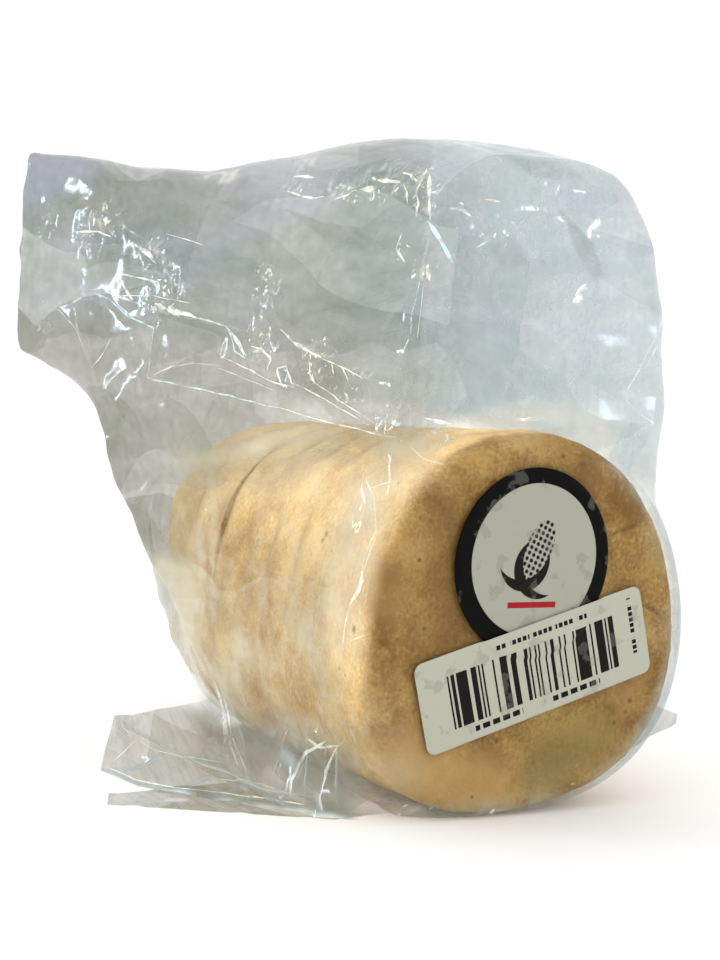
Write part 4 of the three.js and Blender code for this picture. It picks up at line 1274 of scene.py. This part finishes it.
def cake_material():
    """Cooked white corn dough: dry, faintly translucent, mottled tan with fine dark specks."""
    material, tree, place = new_material("corn dough, griddled")
    side, groove, crack, pale, golden, olive, dry_and_lit = (
        add_node(tree, "ShaderNodeAttribute", attribute_name=name).outputs["Fac"]
        for name in ("side", "groove", "crack", "pale", "golden", "olive", "dry_and_lit"))
    # Blotches 25 mm across, patches of 9 mm with ragged edges in them, and a crumb of 1 mm.
    broad = add_node(tree, "ShaderNodeTexNoise", {"Vector": place},
                     {"Scale": 38.0, "Detail": 3.0, "Distortion": 0.4}).outputs["Fac"]
    patches = add_node(tree, "ShaderNodeTexNoise", {"Vector": place},
                       {"Scale": 110.0, "Detail": 7.0, "Roughness": 0.66}).outputs["Fac"]
    crumb = add_node(tree, "ShaderNodeTexNoise", {"Vector": place},
                     {"Scale": 900.0, "Detail": 3.0, "Roughness": 0.7}).outputs["Fac"]
    ragged = add_node(tree, "ShaderNodeMath", {0: patches}, {1: 0.75, 2: -0.43},
                      operation="MULTIPLY_ADD").outputs[0]
    grain = add_node(tree, "ShaderNodeMath", {0: crumb, 2: ragged}, {1: 0.6},
                     operation="MULTIPLY_ADD").outputs[0]
    mottle = add_node(tree, "ShaderNodeMath", {0: broad, 2: grain}, {1: 0.8},
                      operation="MULTIPLY_ADD").outputs[0]

    # The face is browned by the griddle and the rim stays paler; the rim's paler ramp is partly painted
    # light, as the side is lit more than the face.
    face = add_node(tree, "ShaderNodeValToRGB", {"Fac": mottle})
    rim = add_node(tree, "ShaderNodeValToRGB", {"Fac": mottle})
    for ramp, tints in ((face, ("#755218", "#906C32", "#B0904C")), (rim, ("#987238", "#B08C4E", "#C8A96E"))):
        low, middle, high = MOTTLE_STOPS
        between = ramp.color_ramp.elements.new(middle)
        stops = (ramp.color_ramp.elements[0], between, ramp.color_ramp.elements[-1])
        for stop, at, tint in zip(stops, (low, middle, high), tints):
            stop.position, stop.color = at, linear(tint)
    colour = add_node(tree, "ShaderNodeMix",
                      {"Factor": side, "A": face.outputs["Color"], "B": rim.outputs["Color"]},
                      data_type="RGBA").outputs[2]

    # Painted light: where the side is lit it is painted lighter and less brown.
    lift = add_node(tree, "ShaderNodeMath", {0: pale}, {1: 0.75, 2: 1.0}, operation="MULTIPLY_ADD").outputs[0]
    colour = add_node(tree, "ShaderNodeVectorMath", {0: colour, "Scale": lift}, operation="SCALE").outputs[0]
    painted_light_whitening = add_node(tree, "ShaderNodeMath", {0: pale}, {1: 0.3}, operation="MULTIPLY").outputs[0]
    colour = add_node(tree, "ShaderNodeMix", {"Factor": painted_light_whitening, "A": colour}, {"B": linear("#E2CDA6")},
                      data_type="RGBA").outputs[2]
    # The drier, paler patches are also painted light along the front face's left rim.
    for amount, tint in ((golden, "#6E4E1E"), (olive, "#7C6C36"), (dry_and_lit, "#B8955C")):
        # Each patch of colour ends in a ragged edge.
        amount = add_node(tree, "ShaderNodeMath", {0: ragged, 2: amount}, {1: 0.7},
                          operation="MULTIPLY_ADD").outputs[0]
        amount = add_node(tree, "ShaderNodeMapRange", {"Value": amount},
                          {"From Min": 0.05, "From Max": 0.75, "To Max": 0.7}).outputs["Result"]
        colour = add_node(tree, "ShaderNodeMix", {"Factor": amount, "A": colour}, {"B": linear(tint)},
                          data_type="RGBA").outputs[2]
    # Painted shade in the grooves between the cakes, in burnt gold, with the side's golden patches, stronger
    # in some places than in others.
    grooved = add_node(tree, "ShaderNodeMapRange", {"Value": broad},
                       {"From Min": 0.38, "From Max": 0.62, "To Min": 0.0, "To Max": 0.9}).outputs["Result"]
    grooved = add_node(tree, "ShaderNodeMath", {0: groove, 1: grooved}, operation="MULTIPLY").outputs[0]
    colour = add_node(tree, "ShaderNodeMix", {"Factor": grooved, "A": colour}, {"B": linear("#94682A")},
                      data_type="RGBA").outputs[2]
    # The cracks are painted as dark as the burnt specks: painted shade in them.
    dark = add_node(tree, "ShaderNodeMath", {0: burnt_specks(tree, place), 1: crack},
                    operation="MAXIMUM").outputs[0]
    colour = add_node(tree, "ShaderNodeMix", {"Factor": dark, "A": colour}, {"B": linear("#5A3F1B")},
                      data_type="RGBA").outputs[2]

    bump = add_node(tree, "ShaderNodeBump", {"Height": grain}, {"Strength": 0.8, "Distance": 0.0008})
    shader = add_node(tree, "ShaderNodeBsdfPrincipled",
                      {"Base Color": colour, "Normal": bump.outputs["Normal"]},
                      {"Roughness": 0.6, "Specular IOR Level": 0.25, "Subsurface Weight": 0.12,
                       "Subsurface Scale": 0.002})
    add_node(tree, "ShaderNodeOutputMaterial", {"Surface": shader.outputs["BSDF"]})
    return material


# ---------------------------------------------------------------- the labels

PAPER_THICKNESS = 0.15
STICKER_Y = -64.45
LABEL_Y = -64.5
LABEL_LIFT = 0.7
INK_EDGE = 0.08

# The sticker's print, in millimetres from its middle. A disc is its middle (x, z) and its radius.
PALE_DISC = ((0.5, 0.6), 20.6)
COB_TILT = math.radians(-24)
COB_DROP = 2.5
COB = ((0, 1.0), 8.6)
COB_SLIMNESS = 2.0
KERNELS_PER_MM = 0.62
KERNEL = ((0.5, 0.5), 0.36)
# Each leaf is what an outer disc shows past an inner one: x to the side, z and the radius.
LEAF_OUTER = (2.6, -3.4, 8.2)
LEAF_INNER = (5.2, -0.2, 9.0)

# Blocks of print: their middle along and up the label, and half their length and height.
RED_RULE = (0.5, -11.6, 8.0, 0.8)
BARS = (-0.6, -0.6, 28.0, 7.4)
BARS_START = 28.6
BAR_WIDTH = 0.59
BAR_SHARE = 0.53
# Rows of plain dashes: such a block, and the lengths of a word and of a mark. The last one runs upwards.
DASHES_ALONG = (
    ((3.0, 9.7, 15.4, 0.65), 7.6, 1.75),
    ((-14.0, -9.9, 8.2, 0.75), 40.0, 3.3),
    ((12.0, -9.9, 8.2, 0.75), 40.0, 3.3),
)
DASHES_UP = ((2.0, 33.6, 8.0, 0.7), 9.6, 1.6)
WORD_SHARE = 0.84
MARK_SHARE = 0.72


def paper_piece(name, surface, closed):
    """A sheet of label stock, waved a little where the film under it isn't flat."""
    points = surface.reshape(-1, 3)
    points[:, 1] -= 0.12 + 0.1 * soft_noise(points * (1, 0, 1), 14, 71) + 0.03 * soft_noise(points, 4, 72)
    piece = grid_piece(name, points.reshape(surface.shape), closed)
    solidify = piece.modifiers.new("paper thickness", "SOLIDIFY")
    solidify.thickness, solidify.offset = PAPER_THICKNESS * MM, 0
    bpy.ops.object.modifier_apply(modifier=solidify.name)
    return piece


def round_sticker():
    radius, angle = np.meshgrid(np.linspace(0, STICKER["radius"], 44),
                                np.linspace(0, 2 * np.pi, 180, endpoint=False), indexing="ij")
    surface = np.stack([STICKER["x"] + radius * np.cos(angle), np.full(radius.shape, STICKER_Y),
                        STICKER["z"] + radius * np.sin(angle)], axis=-1)
    return paper_piece("round_sticker_paper", surface, True)


def bar_label():
    """A sheet with rounded corners that climbs over the sticker's edge."""
    width, height, corner = BAR_LABEL["width"], BAR_LABEL["height"], BAR_LABEL["corner"]
    across, up = np.meshgrid(
        np.linspace(-width / 2, width / 2, 190), np.linspace(-height / 2, height / 2, 64))
    inner = np.stack([np.clip(across, corner - width / 2, width / 2 - corner),
                      np.clip(up, corner - height / 2, height / 2 - corner)], axis=-1)
    beyond = np.stack([across, up], axis=-1) - inner
    square, round_length = np.abs(beyond).max(axis=-1), np.linalg.norm(beyond, axis=-1)
    across, up = np.moveaxis(inner + beyond * (square / np.maximum(round_length, 1e-9))[..., None], -1, 0)
    turn_cos, turn_sin = math.cos(BAR_LABEL_TILT), math.sin(BAR_LABEL_TILT)
    x = BAR_LABEL["x"] + across * turn_cos - up * turn_sin
    z = BAR_LABEL["z"] + across * turn_sin + up * turn_cos
    past_sticker = np.hypot(x - STICKER["x"], z - STICKER["z"]) - STICKER["radius"]
    y = LABEL_Y - LABEL_LIFT * smooth_step(-past_sticker, -1.6, 0.2)
    return paper_piece("bar_label_paper", np.stack([x, y, z], axis=-1), False)


def printed_paper(name, middle, tilt):
    """A new material of off-white label stock, with millimetres along and up the label from its middle."""
    material, tree, place = new_material(name)
    own = add_node(tree, "ShaderNodeMapping", {"Vector": place},
                   {"Location": (middle[0] * MM, 0, middle[1] * MM), "Rotation": (0, -tilt, 0),
                    "Scale": (MM, MM, MM)}, vector_type="TEXTURE").outputs["Vector"]
    parts = add_node(tree, "ShaderNodeSeparateXYZ", {"Vector": own})
    return material, tree, own, parts.outputs["X"], parts.outputs["Z"]


def finish_paper(tree, own, colour):
    """Damp stains 6 mm across and paper fibres 1 mm long under the satin varnish."""
    damp = add_node(tree, "ShaderNodeTexNoise", {"Vector": own},
                    {"Scale": 0.16, "Detail": 3.0}).outputs["Fac"]
    stain = add_node(tree, "ShaderNodeMapRange", {"Value": damp},
                     {"From Min": 0.6, "From Max": 0.64, "To Max": 0.3}).outputs["Result"]
    stained = add_node(tree, "ShaderNodeMix", {"Factor": stain, "A": colour}, {"B": linear("#77776E")},
                       data_type="RGBA").outputs[2]
    fibres = add_node(tree, "ShaderNodeTexNoise", {"Vector": own},
                      {"Scale": 1.1, "Detail": 3.0}).outputs["Fac"]
    bump = add_node(tree, "ShaderNodeBump", {"Height": fibres}, {"Strength": 0.12, "Distance": 0.0002})
    shader = add_node(tree, "ShaderNodeBsdfPrincipled",
                      {"Base Color": stained, "Normal": bump.outputs["Normal"]},
                      {"Roughness": 0.45, "Specular IOR Level": 0.06})
    add_node(tree, "ShaderNodeOutputMaterial", {"Surface": shader.outputs["BSDF"]})


def disc_mask(tree, own, middle, radius):
    """1 inside a disc on the label."""
    away = add_node(tree, "ShaderNodeVectorMath", {0: own}, {1: (1.0, 0.0, 1.0)},
                    operation="MULTIPLY").outputs[0]
    away = add_node(tree, "ShaderNodeVectorMath", {0: away}, {1: (middle[0], 0.0, middle[1])},
                    operation="DISTANCE").outputs["Value"]
    return add_node(tree, "ShaderNodeMapRange", {"Value": away},
                    {"From Min": radius + INK_EDGE, "From Max": radius - INK_EDGE}).outputs["Result"]


def block_mask(tree, along, up, block):
    """1 inside an upright block on the label."""
    at, height, half_length, half_height = block
    inside = add_node(tree, "ShaderNodeMath", {0: along}, {1: at, 2: half_length},
                      operation="COMPARE").outputs[0]
    level = add_node(tree, "ShaderNodeMath", {0: up}, {1: height, 2: half_height},
                     operation="COMPARE").outputs[0]
    return add_node(tree, "ShaderNodeMath", {0: inside, 1: level}, operation="MULTIPLY").outputs[0]


def sticker_material():
    """Satin label paper with a black ring, a plain corn cob between two leaves and a red rule."""
    material, tree, own, along, up = printed_paper(
        "label paper, satin, ringed", (STICKER["x"], STICKER["z"]), 0)
    pale = disc_mask(tree, own, *PALE_DISC)
    turned = add_node(tree, "ShaderNodeMapping", {"Vector": own},
                      {"Rotation": (0, COB_TILT, 0), "Location": (0, 0, -COB_DROP)}).outputs["Vector"]
    slim = add_node(tree, "ShaderNodeVectorMath", {0: turned}, {1: (COB_SLIMNESS, 1.0, 1.0)},
                    operation="MULTIPLY").outputs[0]
    cob = disc_mask(tree, slim, *COB)
    kernels = add_node(tree, "ShaderNodeVectorMath", {0: turned}, {1: (KERNELS_PER_MM, 0.0, KERNELS_PER_MM)},
                       operation="MULTIPLY").outputs[0]
    kernels = add_node(tree, "ShaderNodeVectorMath", {0: kernels}, operation="FRACTION").outputs[0]
    kernel = disc_mask(tree, kernels, *KERNEL)
    ink = add_node(tree, "ShaderNodeMath", {0: kernel, 1: cob}, operation="MULTIPLY").outputs[0]
    for side in (-1, 1):
        outer, inner = (disc_mask(tree, turned, (-side * x, z), radius)
                        for x, z, radius in (LEAF_OUTER, LEAF_INNER))
        leaf = add_node(tree, "ShaderNodeMath", {0: outer, 1: inner}, operation="SUBTRACT",
                        use_clamp=True).outputs[0]
        ink = add_node(tree, "ShaderNodeMath", {0: ink, 1: leaf}, operation="MAXIMUM").outputs[0]
    paper = add_node(tree, "ShaderNodeMix", {"Factor": ink},
                     {"A": linear("#A3A396"), "B": linear("#1A1815")}, data_type="RGBA").outputs[2]
    rule = block_mask(tree, along, up, RED_RULE)
    paper = add_node(tree, "ShaderNodeMix", {"Factor": rule, "A": paper}, {"B": linear("#9C2027")},
                     data_type="RGBA").outputs[2]
    colour = add_node(tree, "ShaderNodeMix", {"Factor": pale, "B": paper}, {"A": linear("#070706")},
                      data_type="RGBA").outputs[2]
    finish_paper(tree, own, colour)
    return material


def dash_row(tree, along, across, block, word, mark):
    """1 on a row of plain dashes: the block that it fills, and the lengths of a word and of a mark."""
    row = block_mask(tree, along, across, block)
    for period, filled in ((word, WORD_SHARE), (mark, MARK_SHARE)):
        turn = add_node(tree, "ShaderNodeMath", {0: along}, {1: 1 / period}, operation="MULTIPLY").outputs[0]
        turn = add_node(tree, "ShaderNodeMath", {0: turn}, operation="FRACT").outputs[0]
        dash = add_node(tree, "ShaderNodeMath", {0: turn}, {1: filled}, operation="LESS_THAN").outputs[0]
        row = add_node(tree, "ShaderNodeMath", {0: row, 1: dash}, operation="MULTIPLY").outputs[0]
    return row


def bar_label_material():
    """Satin label paper with a run of bars at random and rows of plain dashes."""
    material, tree, own, along, up = printed_paper(
        "label paper, satin, barred", (BAR_LABEL["x"], BAR_LABEL["z"]), BAR_LABEL_TILT)
    # 95 steps of one bar's width, of which about half are printed.
    counted = add_node(tree, "ShaderNodeMath", {0: along}, {1: BARS_START}, operation="ADD").outputs[0]
    counted = add_node(tree, "ShaderNodeMath", {0: counted}, {1: BAR_WIDTH}, operation="DIVIDE").outputs[0]
    counted = add_node(tree, "ShaderNodeMath", {0: counted}, operation="FLOOR").outputs[0]
    chance = add_node(tree, "ShaderNodeTexWhiteNoise", {"W": counted}, noise_dimensions="1D").outputs["Value"]
    bar = add_node(tree, "ShaderNodeMath", {0: chance}, {1: 1 - BAR_SHARE},
                   operation="GREATER_THAN").outputs[0]
    run = block_mask(tree, along, up, BARS)
    ink = add_node(tree, "ShaderNodeMath", {0: bar, 1: run}, operation="MULTIPLY").outputs[0]
    rows = [dash_row(tree, along, up, *dashes) for dashes in DASHES_ALONG]
    rows.append(dash_row(tree, up, along, *DASHES_UP))
    for row in rows:
        ink = add_node(tree, "ShaderNodeMath", {0: ink, 1: row}, operation="MAXIMUM").outputs[0]
    colour = add_node(tree, "ShaderNodeMix", {"Factor": ink},
                      {"A": linear("#B4B4A5"), "B": linear("#181715")}, data_type="RGBA").outputs[2]
    finish_paper(tree, own, colour)
    return material


# ---------------------------------------------------------------- stage, light and camera

def plain_material(name, colour, roughness):
    material = bpy.data.materials.new(name)
    material.use_nodes = True
    shader = material.node_tree.nodes["Principled BSDF"]
    shader.inputs["Base Color"].default_value = linear(colour)
    shader.inputs["Roughness"].default_value = roughness
    return material


def studio_floor():
    """A round floor whose rim sweeps up into a wall all round, so that no edge shows behind the pack."""
    floor_radius, sweep_radius, steps = 2.2, 1.0, 12
    bpy.ops.object.select_all(action="DESELECT")
    bpy.ops.mesh.primitive_circle_add(
        vertices=96, radius=floor_radius, fill_type="NGON", location=(0, 0, FLOOR_Z))
    floor = bpy.context.active_object
    floor.name = floor.data.name = "studio_floor"
    bpy.ops.object.transform_apply(location=True)
    bpy.ops.object.mode_set(mode="EDIT")
    bpy.ops.mesh.select_mode(type="EDGE")
    bpy.ops.mesh.select_all(action="SELECT")
    turn = math.pi / 2 / steps
    radius = floor_radius
    for step in range(steps):
        outward = sweep_radius * (math.sin((step + 1) * turn) - math.sin(step * turn))
        rise = sweep_radius * (math.cos(step * turn) - math.cos((step + 1) * turn))
        bpy.ops.mesh.extrude_edges_move(TRANSFORM_OT_translate={"value": (0, 0, rise)})
        bpy.ops.transform.resize(value=((radius + outward) / radius,) * 2 + (1,))
        radius += outward
    bpy.ops.object.mode_set(mode="OBJECT")
    bpy.ops.object.shade_smooth()
    floor.data.materials.append(plain_material("painted board, matt white", "#FBFBFA", 0.9))


def soft_light(name, place, size, power, colour, aim=(0, 0, 0.08)):
    """A rectangular lamp at place that faces aim. Size is its width and height in metres."""
    bpy.ops.object.light_add(type="AREA", location=place)
    lamp = bpy.context.active_object
    lamp.name = name
    lamp.rotation_euler = (Vector(place) - Vector(aim)).to_track_quat("Z", "Y").to_euler()
    lamp.data.shape = "RECTANGLE"
    lamp.data.size, lamp.data.size_y = size
    lamp.data.energy = power
    lamp.data.color = linear(colour)[:3]


WINDOW_DIRECTION = (-0.62, 0.3, 0.72)


def lighting():
    world = bpy.data.worlds.new("pale studio")
    bpy.context.scene.world = world
    world.use_nodes = True
    tree = world.node_tree
    background = tree.nodes["Background"]
    background.inputs["Color"].default_value = linear("#FFFFFF")
    # The room is brighter towards its back left, as from a wide window, with no edge that would reflect.
    outward = add_node(tree, "ShaderNodeTexCoord").outputs["Generated"]
    facing = add_node(tree, "ShaderNodeVectorMath", {0: outward}, {1: WINDOW_DIRECTION},
                      operation="DOT_PRODUCT").outputs["Value"]
    strength = add_node(tree, "ShaderNodeMapRange", {"Value": facing},
                        {"From Min": -1.0, "From Max": 1.0, "To Min": 0.55, "To Max": 1.35}).outputs["Result"]
    tree.links.new(strength, background.inputs["Strength"])
    soft_light("front_strip", (0.9, -1.4, 1.0), (0.25, 0.12), 2.5, "#FFFAF0")
    soft_light("back_strip", (-0.12, 1.0, 0.78), (0.3, 0.05), 0.12, "#FFF3DC")
    soft_light("left_strip", (-1.1, 0.5, 0.3), (0.06, 0.5), 3, "#DCEEFF")


def camera():
    """The camera looks from the front left, a little above the middle of the pack."""
    bpy.ops.object.camera_add(location=CAMERA_PLACE)
    eye = bpy.context.active_object
    turn = Matrix.Rotation(CAMERA_TURN, 3, "Z")
    tip = Matrix.Rotation(math.pi / 2 - CAMERA_DIP, 3, "X")
    roll = Matrix.Rotation(CAMERA_ROLL, 3, "Z")
    eye.rotation_euler = (turn @ tip @ roll).to_euler()
    eye.data.lens = CAMERA_LENS
    eye.data.sensor_width = 36.0
    eye.data.clip_start = 0.01
    bpy.context.scene.camera = eye


film = film_material()
dough = cake_material()
film_pieces = film_panels() + [
    flap_piece("film_left_corner", LEFT_FLAP, 160, 90, FLAP_CREASES, 0.5),
    flap_piece("film_floor_corner", FLOOR_FLAP, 120, 60, haze=0.7),
    flap_piece("film_right_corner", RIGHT_FLAP, 50, 40),
    flap_piece("film_skirt", SKIRT, 260, 120, SKIRT_PLEATS, 0.45, hangs=True),
]
for panel in film_pieces:
    finish_piece(panel, film, "film", "bag")
folds = film_folds(film_pieces)
finish_piece(folds, fold_material(), "film", "bag")
# Clear film takes next to no light from what is behind it.
for sheet in film_pieces + [folds]:
    sheet.visible_shadow = False
    sheet.visible_diffuse = False
finish_piece(round_sticker(), sticker_material(), "sticker", "round_sticker")
finish_piece(bar_label(), bar_label_material(), "label", "bar_label")
for number in range(CAKE_COUNT):
    finish_piece(cake(number), dough, "cake", "bag")
studio_floor()
lighting()
camera()
bpy.context.scene.view_settings.view_transform = "Standard"
